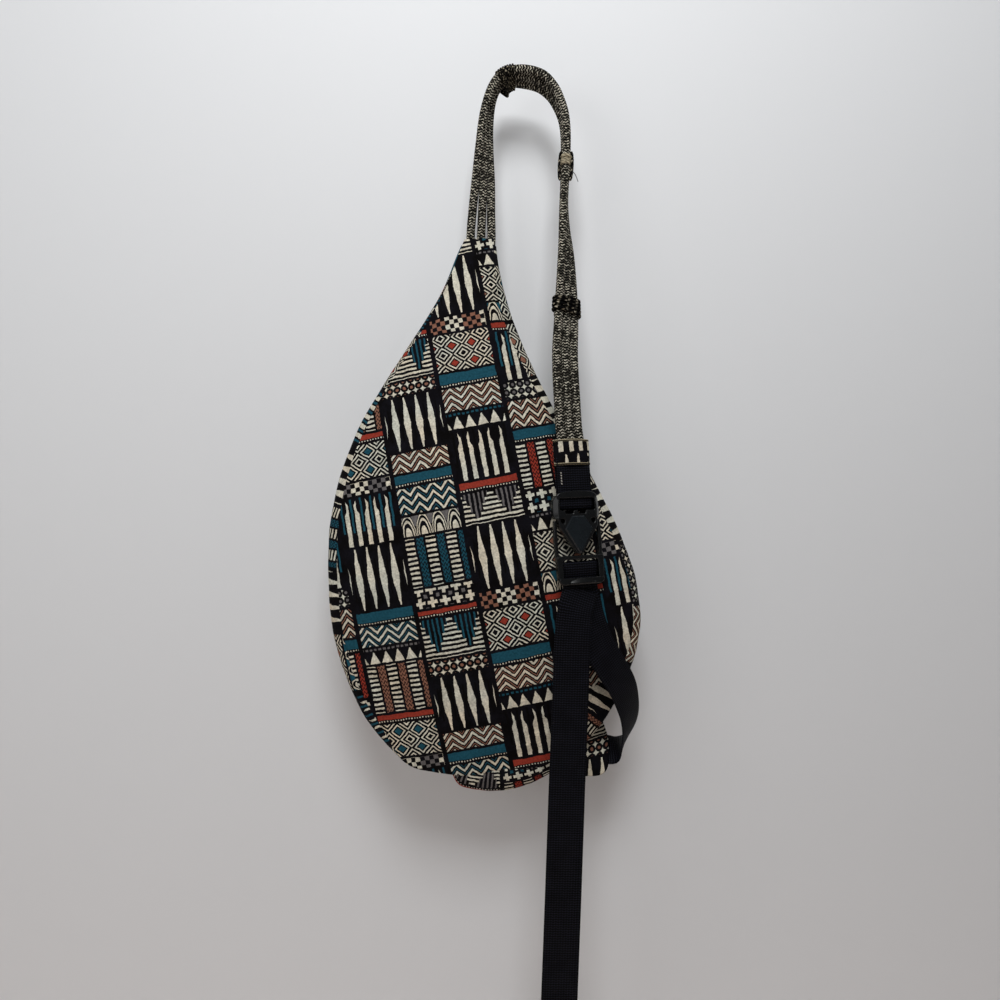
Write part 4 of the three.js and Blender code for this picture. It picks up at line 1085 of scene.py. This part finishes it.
def make_gusset():
    """The strip between the two panels, with its edges tucked in behind their seams."""
    edges, _, inward, full = body_stations(GUSSET_TOP_DROP)
    back_inset = back_seam_inset(edges, full)
    front_inset = mix(TIP_SEAM_INSET, FRONT_SEAM_INSET, full)
    along = lengths_along(edges)
    points, uvs = [], []
    for i, edge in enumerate(edges):
        back, front = mix(-TIP_HALF_DEPTH, BACK_SEAM_Y, full[i]), front_y(edge[1])
        widest = (mix(0, WIDEST_Y, full[i]) - back) / (front - back)
        section = []
        for j in range(-GUSSET_TUCKS, GUSSET_ROWS + GUSSET_TUCKS + 1):
            t = min(max(j / GUSSET_ROWS, 0), 1)
            tuck = max(-j, j - GUSSET_ROWS, 0)
            share = 1 - t / widest if t < widest else (t - widest) / (1 - widest)
            inset = (back_inset if t < widest else front_inset)[i] * share * share + TUCK_IN * tuck
            inset += gusset_ripple(along[i], t) * full[i] + bottom_pull(*edge, t)
            x, z = edge + inward[i] * inset
            section.append((x, mix(back, front, t) + math.copysign(TUCK_DEPTH, -j) * tuck, z))
        points += section
        places = lengths_along(np.array(section))
        uvs += [(along[i] * GUSSET_STRETCH, place - places[-1]) for place in places]
    faces = flipped(grid_faces(len(edges), GUSSET_ROWS + 2 * GUSSET_TUCKS + 1))
    return make_cloth("gusset_cloth", points, faces, uvs)


def make_front_panel():
    """The wall-side panel in two halves, with a slot for the zip between them."""
    edges, _, inward, full = body_stations(0)
    rims = edges + inward * (mix(TIP_SEAM_INSET, FRONT_SEAM_INSET, full) + CLOTH)[:, None]
    low = int(np.argmin(rims[:, 1]))
    bottom = rims[low][1]
    slot_top = TIP_Z - ZIP_TOP_DROP
    slot_low = slot_top - ZIP_LENGTH
    above, beside, below = FRONT_ROWS
    heights = [*np.linspace(rims[0][1], slot_top, above), slot_top - SLOT_STEP]
    heights += [*np.linspace(slot_top, slot_low, beside)[1:-1], slot_low + SLOT_STEP]
    heights += [*(bottom + (slot_low - bottom) * np.cos(np.linspace(0, math.pi / 2, below)))]
    block = grid_faces(len(heights), FRONT_COLUMNS + 1)
    points, faces = [], []
    for side, path in ((-1, rims[: low + 1][::-1]), (1, rims[low:])):
        faces += shifted(flipped(block) if side < 0 else block, len(points))
        for z in heights:
            half_slot = ZIP_SLOT_HALF_W if slot_low < z < slot_top else 0
            end = np.interp(z, path[:, 1], path[:, 0])
            for k in range(FRONT_COLUMNS + 1):
                x = mix(SPINE_X + side * half_slot, end, k / FRONT_COLUMNS)
                ease = min(1, max(0, abs(x - SPINE_X) - 16) / 20) * min(1, (FRONT_COLUMNS - k) / 4)
                lift = 1.6 * wrinkle(x, 3, z, 60, 14) + 0.5 * wrinkle(x, 3, z, 18, 17)
                roll = 1.2 * max(0, 1 - abs(end - x) / 3)
                points.append((x, front_y(z) + lift * ease - roll, z))
    return make_cloth("front_panel_cloth", points, faces, [(-x, z) for x, _, z in points], merge=True)


def make_wing():
    """A doubled flap of canvas from the gusset to the end of the strap run."""
    root = OUTLINE[LOWEST:]
    root = root[(root[:, 0] >= WING_ROOT_X) & (root[:, 1] <= WING_TOP_Z)]
    edge = even_path(spline(WING_EDGE, WING_EDGE_SAMPLES), WING_EDGE_STEP)
    shares = np.arange(WING_COLUMNS + 1) / WING_COLUMNS
    inner, outer = (read_rows(shares, np.linspace(0, 1, len(line)), line) for line in (root, edge))
    points = []
    for (x, z), end in zip(inner, outer):
        start = np.array([x - WING_UNDERLAP, WING_ROOT_Y, z + WING_UNDERLAP])
        for j in range(WING_ROWS + 1):
            r = j / WING_ROWS
            place = mix(start, end, r)
            hem = 0.5 * math.exp(-(((1 - r) * 24 - 4) ** 2) / 3)
            soft = 0.9 * wrinkle(place[0], 0, place[2], 16, 41) * r
            points.append(place - (0, soft + hem, 0))
    faces = grid_faces(WING_COLUMNS + 1, WING_ROWS + 1)
    return make_cloth("corner_wing_cloth", points, faces, [(x, z) for x, _, z in points], WING_T)


back_panel = finish_piece(make_back_panel(), PANEL_PRINT, nodes=["back_panel"])
gusset = finish_piece(make_gusset(), GUSSET_PRINT, nodes=["gusset"])
front_panel = finish_piece(make_front_panel(), PANEL_PRINT, nodes=["front_panel"])
wing = finish_piece(make_wing(), TAB_PRINT, nodes=["corner_wing"])


# Zip

ZIP_LEAN = math.atan((FRONT_BOTTOM_Y - TIP_HALF_DEPTH) / BODY_HEIGHT)
ZIP_TOP = np.array([SPINE_X, front_y(TIP_Z - ZIP_TOP_DROP), TIP_Z - ZIP_TOP_DROP])


def zip_point(x, y, z):
    """A point of the zip's frame in the bag's frame."""
    c, s = math.cos(ZIP_LEAN), math.sin(ZIP_LEAN)
    return ZIP_TOP + np.array([x, y * c - z * s, y * s + z * c])


def make_tape(name, side):
    heights = np.linspace(TAPE_SPARE, -ZIP_LENGTH - TAPE_SPARE, TAPE_ROWS)
    middles = [zip_point(side * (TAPE_HALF_GAP + TAPE_W / 2), TAPE_Y, z) for z in heights]
    return make_ribbon(name, middles, (1, 0, 0), TAPE_W, TAPE_T)


def make_teeth():
    """Two rows of metal teeth that mesh along the middle of the zip."""
    points, faces = [], []
    width, depth, height = (value / 2 for value in TOOTH)
    box = [(0, 1, 3, 2), (4, 6, 7, 5), (0, 4, 5, 1), (2, 3, 7, 6), (0, 2, 6, 4), (1, 5, 7, 3)]
    for i, z in enumerate(np.arange(-TEETH_ENDS - 1, -ZIP_LENGTH + TEETH_ENDS, -TOOTH_PITCH)):
        middle = TOOTH_SHIFT * (-1) ** i
        faces += shifted(box, len(points))
        for dx, dy, dz in itertools.product((-1, 1), repeat=3):
            share = TOOTH_NARROW if dx * middle < 0 else 1
            y = TEETH_Y + dy * depth * share
            points.append(zip_point(middle + dx * width, y, z + dz * height * share))
    teeth = make_mesh("zip_chain", points, faces, smooth=False)
    add_bevel(teeth, TOOTH_BEVEL, 2)
    return teeth


left_tape = finish_piece(make_tape("tape_left_cloth", -1), ZIP_CLOTH, nodes=["zip_tape_left"])
right_tape = finish_piece(make_tape("tape_right_cloth", 1), ZIP_CLOTH, nodes=["zip_tape_right"])
finish_piece(make_teeth(), METAL, nodes=["zip_teeth"])


# Rope

ROPE_ROWS = spline(ROPE_POINTS, ROPE_SAMPLES)
ROPE_TANGENTS = np.gradient(ROPE_ROWS[:, :3], axis=0)
ROPE_ALONG = lengths_along(ROPE_ROWS[:, :3])


def row_direction(along, turn_deg, dip_deg):
    """The direction across the row of strands, square to the rope."""
    turn, dip = math.radians(turn_deg), math.radians(dip_deg)
    across = np.array([math.cos(turn), math.sin(turn), -math.tan(dip)])
    return unit(across - along * (across @ along))


def rope_station(place):
    """Middle of the bundle, and the directions along, across and out of it, at a distance along the rope."""
    here = read_rows(place, ROPE_ALONG, ROPE_ROWS)
    along = unit(read_rows(place, ROPE_ALONG, ROPE_TANGENTS))
    across = row_direction(along, *here[3:])
    return here[:3], along, across, np.cross(along, across)


def strand_path(offset):
    """One strand's middle line."""
    route = spline([p[:3] for p in ROPE_POINTS], (len(ROPE_POINTS) - 1) * ROUTE_STEPS + 1)
    more, middle, reach = LEFT_SPREAD if offset < 0 else RIGHT_SPREAD
    spread = 1 + more * bell(lengths_along(route), middle, reach)
    points = []
    for i, point in enumerate(ROPE_POINTS):
        k = i * ROUTE_STEPS
        along = unit(route[min(k + 1, len(route) - 1)] - route[max(k - 1, 0)])
        points.append(route[k] + row_direction(along, *point[3:]) * offset * spread[k])
    return even_path(spline(points, STRAND_SAMPLES), STRAND_RING)


def braid_height(cells, rows):
    """Relief of a braid, from 0 to 1, over arrays of the two cell coordinates."""
    first, second = cells - rows, cells + rows
    over = np.mod(np.floor(first) + np.floor(second), 4) < 2
    first_along = np.mod(np.floor(first) + second, 4) / 2
    second_along = np.mod(np.floor(second) + first, 4) / 2 - 1
    across = np.where(over, first - np.floor(first), second - np.floor(second))
    along = np.where(over, first_along, second_along)
    return np.sqrt(1 - 0.85 * (2 * across - 1) ** 2) * (0.4 + 0.6 * np.sin(math.pi * along))


def braided_tube(name, path, radius, relief, sides, cells, pitch):
    """A tube with the relief of a braid. Its UVs count the braid's cells."""
    rows = lengths_along(path)[:, None] / pitch
    height = braid_height(cells * np.arange(sides)[None, :] / sides, rows)
    return make_tube(name, path, radius + relief * height, sides, cells, 1 / pitch)


def make_strand(name, path):
    radius = ROPE_D / 2 - BRAID_RELIEF * BRAID_SEAT
    return braided_tube(name, path, radius, BRAID_RELIEF, STRAND_SIDES, BRAID_CELLS, BRAID_PITCH)


def lace_tube(name, path, thick, cloth):
    """A braided lace along a path."""
    path = even_path(spline(path, len(path) * 3), LACE_STEP)
    core, relief, pitch = LACE_CORE * thick, LACE_RELIEF * thick, LACE_PITCH * thick
    lace = braided_tube(name, path, core, relief, LACE_SIDES, LACE_CELLS, pitch)
    lace.data.materials.append(cloth)
    return lace


def stadium_point(turn, radius, half):
    """A point of a track shape with round ends, for a turn from 0 to 1."""
    straight = 2 * half
    bend = math.pi * radius
    place = (turn % 1) * 2 * (straight + bend)
    if place < straight:
        return -half + place, radius
    place -= straight
    if place < bend:
        angle = math.pi / 2 - place / radius
        return half + radius * math.cos(angle), radius * math.sin(angle)
    place -= bend
    if place < straight:
        return half - place, -radius
    angle = -math.pi / 2 - (place - straight) / radius
    return -half + radius * math.cos(angle), radius * math.sin(angle)


def wound_lace(name, binding, cloth, thick, turns, seat, spread=1.0, shift=0.0, droop=0.0):
    """A lace wound round the bundle, with its ends tucked towards the rope. Its underside may hang down."""
    at, length = binding
    steps = int(turns * LACE_TURN_STEPS)
    rng = random.Random(SEED + int(at))
    path = []
    for i in range(steps + 1):
        share = i / steps
        middle, forward, across, out = rope_station(at + shift + (share - 0.5) * (length - thick) * spread)
        ends = min(share, 1 - share) * turns
        radius = ROPE_D / 2 + thick * seat - 0.25 * thick * max(0, 1 - ends / 0.2)
        a, b = stadium_point(turns * share + 0.1, radius, STRAND_PITCH)
        b -= droop * max(0, -b / radius) * (0.5 + 0.5 * a / (STRAND_PITCH + radius)) * (1.3 - share)
        sway = 0.12 * thick * math.sin(7 * share + at) + rng.uniform(-0.05, 0.05)
        path.append(middle + across * a + out * b + forward * sway)
    return lace_tube(name, path, thick, cloth)


def side_lace(name, side):
    """A lace that lies along one side of the near strand at the upper binding."""
    start, end = UPPER_BINDING[0] - SIDE_LACE_RISE, UPPER_BINDING[0] + SIDE_LACE_FALL
    path = []
    for share in np.linspace(0, 1, 16):
        middle, _, across, out = rope_station(mix(start, end, share))
        reach = ROPE_D / 2 + SIDE_LACE_T * (0.1 + 0.5 * math.sin(math.pi * share) ** 0.4)
        path.append(middle - across * STRAND_PITCH * 0.9 + out * side * reach)
    return lace_tube(name, path, SIDE_LACE_T, LACE_CLOTH)


def loose_end():
    """A frayed thread that sticks out below the upper binding."""
    start = rope_station(UPPER_BINDING[0] + LOOSE_FALL)[0] + LOOSE_START
    path = even_path(spline([start + step for step in LOOSE_STEPS], 40), 0.5)
    end = make_tube("upper_loose_end", path, LOOSE_RADIUS, 8)
    end.data.materials.append(DARK_THREAD)
    return end


for strand_name, strand_offset in (("left", -STRAND_PITCH), ("middle", 0), ("right", STRAND_PITCH)):
    strand_line = strand_path(strand_offset)
    strand = make_strand(f"braided_strand_{strand_name}", strand_line)
    finish_piece(strand, ROPE_CLOTH, nodes=[f"rope_strand_{strand_name}"])

hook_lace = wound_lace("hook_lace", HOOK_BINDING, HOOK_LACE, thick=2.2, turns=8.6, seat=0.12, droop=7.5)
tan_lace = wound_lace(
    "upper_lace_tan", UPPER_BINDING, TAN_LACE, thick=4.6, turns=3.0, seat=-0.2, spread=0.4, shift=-4
)
side_laces = [side_lace("upper_lace_left", -1), side_lace("upper_lace_right", 1)]
upper_lace = join_pieces("upper_lace", [tan_lace, *side_laces, loose_end()])
lower_lace = wound_lace("lower_lace", LOWER_BINDING, LACE_CLOTH, thick=3.4, turns=4.7, seat=0.34)
finish_piece(hook_lace, nodes=["hook_binding"])
finish_piece(upper_lace, nodes=["upper_binding"])
finish_piece(lower_lace, nodes=["lower_binding"])


# Strap


def rotation(axis, degrees):
    """A turn about one of the three axes."""
    c, s = math.cos(math.radians(degrees)), math.sin(math.radians(degrees))
    i, j = (axis + 1) % 3, (axis + 2) % 3
    made = np.eye(3)
    made[i, i] = made[j, j] = c
    made[i, j], made[j, i] = -s, s
    return made


STRAP_AXES = rotation(2, STRAP_TURN_DEG) @ rotation(1, STRAP_LEAN_DEG) @ rotation(0, STRAP_TILT_DEG)
STRAP_ACROSS = STRAP_AXES[:, 0]


def strap_point(x, y, z):
    """A point of the strap frame in the bag's frame."""
    return np.array(STRAP_TOP) + STRAP_AXES @ np.array([x, y, z], float)


FOLD_ARM = BAR_THICKNESS / 2 + FIT_GAP + WEBBING_T / 2
LOCK_TOP = -TONGUE_TIP_AT - PLUG_GAP - PLUG_TOP_BAR
LOCK_BAR_Z = LOCK_TOP - LOCK_BAR_DROP
LOCK_WINDOW_END = LOCK_TOP - LOCK_WINDOW
PLUG_BOTTOM = LOCK_WINDOW_END - LIP_HEIGHT
BEHIND_LIP = LIP_REAR_Y + LIP_CLEARANCE + WEBBING_T / 2
BELOW_LIP = PLUG_BOTTOM - 2 * WEBBING_T


def band_over(bar_y, bar_z, side, reach_front, reach_rear, steps=14):
    """The line of a webbing folded over a bar, as y and z in the strap frame."""
    line = [(bar_y - FOLD_ARM, reach_front)]
    for angle in math.pi * np.arange(steps + 1) / steps:
        rise = (BAR_HEIGHT - BAR_THICKNESS) / 2 + FOLD_ARM * math.sin(angle)
        line.append((bar_y - FOLD_ARM * math.cos(angle), bar_z + side * rise))
    return [*line, (bar_y + FOLD_ARM, reach_rear)]


def strap_ribbon(name, line):
    """A webbing along a line of y and z in the strap frame."""
    middles = [strap_point(0, y, z) for y, z in even_path(line, FOLD_STEP)]
    return make_ribbon(name, middles, STRAP_ACROSS)


def routed_ribbon(name, route, widths):
    """A webbing along a route, with the direction of its width at each point, and its middle line."""
    line = even_path(route, RIBBON_STEP)
    return make_ribbon(name, line, read_rows(lengths_along(line), lengths_along(route), widths)), line


def tab_ring(share, inner):
    """A ring of the sleeve's outer or inner face in the strap frame, at a share of its length."""
    z = -TAB_LENGTH * share
    hem = min(share, 1 - share) * TAB_LENGTH
    wall = TAB_WALL if inner else 0
    puff = 0 if inner else 0.35 * math.exp(-((hem - 1.2) ** 2) / 2)
    ring = []
    for angle in 2 * math.pi * np.arange(TAB_SIDES) / TAB_SIDES:
        c, s = math.cos(angle), math.sin(angle)
        x = (TAB_HALF_W - wall) * math.copysign(abs(c) ** 0.75, c)
        swell = TAB_SWELL * max(0.0, 1 - (x / TAB_HALF_W) ** 2) ** 0.8
        depth = TAB_EDGE + swell * (0.9 + 0.1 * math.cos(3 * share)) + puff - wall
        y = math.copysign(abs(s) ** 0.35 * depth, s)
        y += 0 if inner else 0.3 * wrinkle(x, y, z, 7, 31)
        ring.append((x, y, z))
    return ring


def make_tab():
    """Flat printed sleeve round the rope ends, thick in the middle and sewn flat at its sides."""
    shares = np.arange(TAB_ROWS + 1) / TAB_ROWS
    rings = [tab_ring(share, False) for share in shares] + [tab_ring(share, True) for share in shares[::-1]]
    points = [point for ring in rings for point in ring]
    faces = grid_faces(len(rings), TAB_SIDES, wrap=True)
    last = len(points) - TAB_SIDES
    for k in range(TAB_SIDES):
        after = (k + 1) % TAB_SIDES
        faces.append((last + k, k, after, last + after))
    faces = flipped(faces)
    uvs = [(x + TAB_REAR_SHIFT * (y > 0), z) for x, y, z in points]
    placed = [strap_point(*point) for point in points]
    sleeve = make_mesh("rope_end_sleeve", placed, faces, at_corners(faces, uvs))
    sleeve.data.materials.append(TAB_PRINT)
    sleeve.data.materials.append(HEM_CLOTH)
    for face in sleeve.data.polygons:
        row = face.index // TAB_SIDES
        if row < TAB_HEM_ROWS or TAB_ROWS - TAB_HEM_ROWS <= row <= TAB_ROWS:
            face.material_index = 1
    return sleeve


def make_bar_tack():
    """White stitches near one edge of the short webbing."""
    face = SOCKET_BAR_Y - FOLD_ARM - WEBBING_T / 2
    aside, down = STITCH_STEP
    stitches = []
    for drop in BAR_TACK_DROPS:
        line = [strap_point(BAR_TACK_X + k * aside, face, -drop - k * down) for k in (-1, 0, 1)]
        stitch = make_tube("stitch", np.array(line), STITCH_RADIUS, 10)
        stitch.data.materials.append(PALE_THREAD)
        stitches.append(stitch)
    return join_pieces("bar_tack", stitches)


def make_socket_webbing():
    end = -TAB_LENGTH + TAB_OVERLAP
    return strap_ribbon("socket_loop", band_over(SOCKET_BAR_Y, -SOCKET_BAR_AT, -1, end, end))


def make_lock_fold():
    """The webbing that wraps the lock's bar, from the back of the bar to below the lip."""
    fold = band_over(0, LOCK_BAR_Z, 1, LOCK_BAR_Z - BAR_HEIGHT / 2, LOCK_BAR_Z - BAR_HEIGHT)[::-1]
    return strap_ribbon("lock_fold", [*fold, (BEHIND_LIP, LOCK_WINDOW_END), (BEHIND_LIP, BELOW_LIP)])


def make_tail():
    """The loose end of the strap below the lock, and its middle line."""
    rows = spline([(*strap_point(0, BEHIND_LIP, BELOW_LIP), STRAP_TURN_DEG), *TAIL_POINTS], STRAP_SAMPLES)
    turns = np.radians(rows[:, 3])
    widths = np.stack([np.cos(turns), np.sin(turns), np.zeros(len(rows))], axis=1)
    return routed_ribbon("strap_tail_webbing", rows[:, :3], widths)


def make_run():
    """The strap from the corner wing to the back of the lock, and its middle line."""
    heights = (PLUG_BOTTOM, LOCK_BAR_Z - BAR_HEIGHT - FIT_GAP)
    ends = [(*strap_point(0, FOLD_ARM, z), *STRAP_ACROSS) for z in heights]
    rows = spline([*RUN_POINTS, *ends], STRAP_SAMPLES)
    return routed_ribbon("strap_run_webbing", rows[:, :3], rows[:, 3:])


finish_piece(make_bar_tack())
tab = finish_piece(make_tab(), nodes=["rope_end_tab"])
finish_piece(make_socket_webbing(), BLACK_WEBBING, nodes=["socket_webbing"])
finish_piece(make_lock_fold(), BLACK_WEBBING, body="plug")
tail, tail_line = make_tail()
finish_piece(tail, BLACK_WEBBING, body="plug", nodes=["strap_tail"])
run, run_line = make_run()
finish_piece(run, BLACK_WEBBING, body=None, nodes=["strap_run"])
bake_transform(run)


# Buckle


def mirrored(loop):
    """The same loop on the other side of the strap's middle."""
    return [(-x, z) for x, z in reversed(loop)]


def rounded_loop(loop, radius, steps=5):
    """A loop with its corners rounded."""
    corners = np.array(loop, float)
    made = []
    for k, corner in enumerate(corners):
        before, after = corners[k - 1] - corner, corners[(k + 1) % len(corners)] - corner
        start = corner + before * min(0.5, radius / np.linalg.norm(before))
        end = corner + after * min(0.5, radius / np.linalg.norm(after))
        for t in np.linspace(0, 1, steps):
            made.append(start * (1 - t) ** 2 + 2 * corner * t * (1 - t) + end * t**2)
    return made


def make_plate(loops, front, rear, bevel, radius):
    """A plate in the strap frame with round edges. Loops after the first are holes."""
    data = bpy.data.curves.new("plate", "CURVE")
    data.dimensions = "2D"
    data.fill_mode = "BOTH"
    data.extrude = (rear - front) / 2 - bevel
    data.bevel_depth = bevel
    data.bevel_resolution = 3
    data.offset = -bevel
    for loop in loops:
        loop = rounded_loop(loop, radius)
        line = data.splines.new("POLY")
        line.points.add(len(loop) - 1)
        for point, (x, z) in zip(line.points, loop):
            point.co = (x, z, 0, 1)
        line.use_cyclic_u = True
    drawn = bpy.data.objects.new("plate", data)
    bpy.context.collection.objects.link(drawn)
    mesh = bpy.data.meshes.new_from_object(drawn.evaluated_get(bpy.context.evaluated_depsgraph_get()))
    bpy.data.objects.remove(drawn)
    middle = (front + rear) / 2
    points = [strap_point(v.co.x, middle - v.co.z, v.co.y) for v in mesh.vertices]
    plate = make_mesh("plate", points, [tuple(face.vertices) for face in mesh.polygons])
    bpy.data.meshes.remove(mesh)
    merge_points(plate, 0.02)
    plate.data.materials.append(BUCKLE_PLASTIC)
    return plate


def make_bar(middle_y, middle_z):
    """A bar that webbing goes round."""
    low, high = middle_z - BAR_HEIGHT / 2, middle_z + BAR_HEIGHT / 2
    loop = [(-BAR_HALF_W, high), (BAR_HALF_W, high), (BAR_HALF_W, low), (-BAR_HALF_W, low)]
    front, rear = middle_y - BAR_THICKNESS / 2, middle_y + BAR_THICKNESS / 2
    return make_plate([loop], front, rear, BAR_BEVEL, BAR_CORNER)


def make_loft(sections, bevel, plastic=BUCKLE_PLASTIC):
    """A plastic bar through sections that are loops of points in the strap frame, with round edges."""
    count = len(sections[0])
    points = [strap_point(*point) for section in sections for point in section]
    faces = grid_faces(len(sections), count, wrap=True)
    last = len(points) - count
    faces += [tuple(reversed(range(count))), tuple(last + k for k in range(count))]
    bar = make_mesh("bar", points, faces)
    work = bmesh.new()
    work.from_mesh(bar.data)
    sharp = [edge for edge in work.edges if edge.calc_face_angle(0) > math.radians(LOFT_ANGLE_DEG)]
    bmesh.ops.bevel(work, geom=sharp, offset=bevel * MM, segments=3, profile=0.5, affect="EDGES")
    bmesh.ops.recalc_face_normals(work, faces=work.faces)
    for face in work.faces:
        face.smooth = True
    work.to_mesh(bar.data)
    work.free()
    bar.data.materials.append(plastic)
    return bar


def make_lip():
    """The sloped lip across the foot of the plug, which stands out most in the middle."""
    sections = []
    for x in np.linspace(-PLUG_LIP_HALF_W, PLUG_LIP_HALF_W, PLUG_LIP_SECTIONS):
        sections.append([(x, min(PLUG_LIP_REAR, y + PLUG_LIP_BOW * x * x), z) for y, z in PLUG_LIP])
    return make_loft(sections, PLUG_LIP_BEVEL)


def make_kite():
    """The raised kite on the socket's front, with sloped edges."""
    sections = []
    for depth, share in KITE_STEPS:
        sections.append([(x * share, depth, mix(KITE_MIDDLE_Z, z, share)) for x, z in KITE])
    # The kite's plastic carries painted sheen.
    return make_loft(sections, KITE_BEVEL, KITE_PLASTIC_PAINTED_SHEEN)


def make_rail(side):
    """A side rail of the socket with a broad slope on its outer front corner."""
    sections = []
    for x, z in SOCKET_RAIL:
        cut = min(RAIL_CUT, x - RAIL_INNER_X - RAIL_LAND)
        loop = [(RAIL_INNER_X, RAIL_FRONT), (x - cut, RAIL_FRONT), (x, RAIL_FRONT + cut), (x, RAIL_REAR)]
        loop.append((RAIL_INNER_X, RAIL_REAR))
        sections.append([(side * a, b, z) for a, b in loop])
    return make_loft(sections, RAIL_BEVEL)


def moulding(name, plates, body, node):
    """Plates joined to one plastic part."""
    part = join_pieces(name, plates)
    add_modifier(part, "flat faces", "WEIGHTED_NORMAL", keep_sharp=True)
    finish_piece(part, body=body, nodes=[node])


def make_socket():
    outer = SOCKET_HALF + mirrored(SOCKET_HALF[1:])
    pockets = [SOCKET_POCKET, mirrored(SOCKET_POCKET)]
    plates = [
        make_plate([outer, SOCKET_WINDOW, *pockets], front=-5.2, rear=-2.9, bevel=0.9, radius=1.4),
        make_rail(-1),
        make_rail(1),
        make_plate([SOCKET_BODY, *pockets], front=-4.4, rear=2, bevel=0.6, radius=1.2),
        make_plate([SOCKET_BACK], front=1.4, rear=2.6, bevel=0.4, radius=1),
        make_bar(SOCKET_BAR_Y, -SOCKET_BAR_AT),
        make_kite(),
    ]
    moulding("socket_moulding", plates, "bag", "buckle_socket")


def make_plug():
    plates = [
        make_plate([PLUG_FRAME], front=-4.5, rear=1.4, bevel=1.1, radius=1.6),
        make_plate([PLUG_ARM], front=-2, rear=2, bevel=0.8, radius=1),
        make_plate([mirrored(PLUG_ARM)], front=-2, rear=2, bevel=0.8, radius=1),
        make_plate([PLUG_FOOT], front=-5.2, rear=-1.8, bevel=1.2, radius=1.8),
        make_lip(),
        make_bar(0, LOCK_BAR_Z),
    ]
    moulding("plug_moulding", plates, "plug", "buckle_plug")


make_socket()
make_plug()


# Zip parts that keep their solids

for node in ("zip_top_stop", "zip_bottom_stop", "zip_slider", "zip_pull"):
    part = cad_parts[node]
    part.data.materials.clear()
    part.data.materials.append(METAL)
    add_bevel(part, ZIP_BEVEL)


# Camera, light and stage


def make_camera():
    data = bpy.data.cameras.new("camera")
    data.lens = CAMERA_LENS
    data.sensor_width = CAMERA_SENSOR
    data.clip_start = CAMERA_NEAR_M
    camera = bpy.data.objects.new("camera", data)
    camera.location = [c * MM for c in CAMERA_AT]
    camera.rotation_euler = (math.pi / 2, 0, 0)
    bpy.context.collection.objects.link(camera)
    bpy.context.scene.camera = camera


def make_lamp(name, place, target, size, power, colour):
    data = bpy.data.lights.new(name, "AREA")
    data.shape = "SQUARE"
    data.size = size
    data.energy = power
    data.color = colour
    lamp = bpy.data.objects.new(name, data)
    lamp.location = place
    lamp.rotation_euler = (Vector(target) - Vector(place)).to_track_quat("-Z", "Y").to_euler()
    bpy.context.collection.objects.link(lamp)


def choose_shader(tree, choice, first, second, output):
    """The second shader where the choice is 1, and else the first."""
    chosen = add_node(tree, "MixShader", {0: choice, 1: first.outputs[0], 2: second.outputs[0]})
    feed(tree, tree.nodes[output].inputs["Surface"], chosen.outputs[0])


def make_world():
    """Soft light from all round, with a paler sky where the camera sees it."""
    world = bpy.data.worlds.new("world")
    bpy.context.scene.world = world
    world.use_nodes = True
    tree = world.node_tree
    light = add_node(tree, "Background", {"Color": SKY_COLOUR, "Strength": SKY_STRENGTH})
    seen = add_node(tree, "Background", {"Color": SEEN_SKY_COLOUR, "Strength": SEEN_SKY_STRENGTH})
    by_camera = add_node(tree, "LightPath").outputs["Is Camera Ray"]
    choose_shader(tree, by_camera, light, seen, "World Output")


def make_stage_sheet(name, corners, colour, one_sided=False):
    """A wall or floor. A one-sided sheet can't be seen from behind."""
    made, tree, shader = new_material("pale " + name)
    set_surface(tree, shader, colour, roughness=0.7)
    if one_sided:
        behind = add_node(tree, "NewGeometry").outputs["Backfacing"]
        choose_shader(tree, behind, shader, add_node(tree, "BsdfTransparent"), "Material Output")
    sheet = make_mesh(name, corners, [(0, 1, 2, 3)])
    sheet.data.materials.append(made)
    return sheet


def make_stage():
    far = STAGE_REACH
    wall_corners = [(-far, WALL_Y, FLOOR_Z), (far, WALL_Y, FLOOR_Z), (far, WALL_Y, far), (-far, WALL_Y, far)]
    wall = make_stage_sheet("wall", wall_corners, WALL_COLOUR, one_sided=True)
    wall.visible_shadow = False
    floor_corners = [(-far, -far, FLOOR_Z), (far, -far, FLOOR_Z), (far, far, FLOOR_Z), (-far, far, FLOOR_Z)]
    make_stage_sheet("floor", floor_corners, FLOOR_COLOUR)


make_camera()
make_world()
make_stage()
for lamp_name, lamp_values in LAMPS.items():
    make_lamp(lamp_name, *lamp_values)
bpy.context.scene.view_settings.view_transform = "Standard"
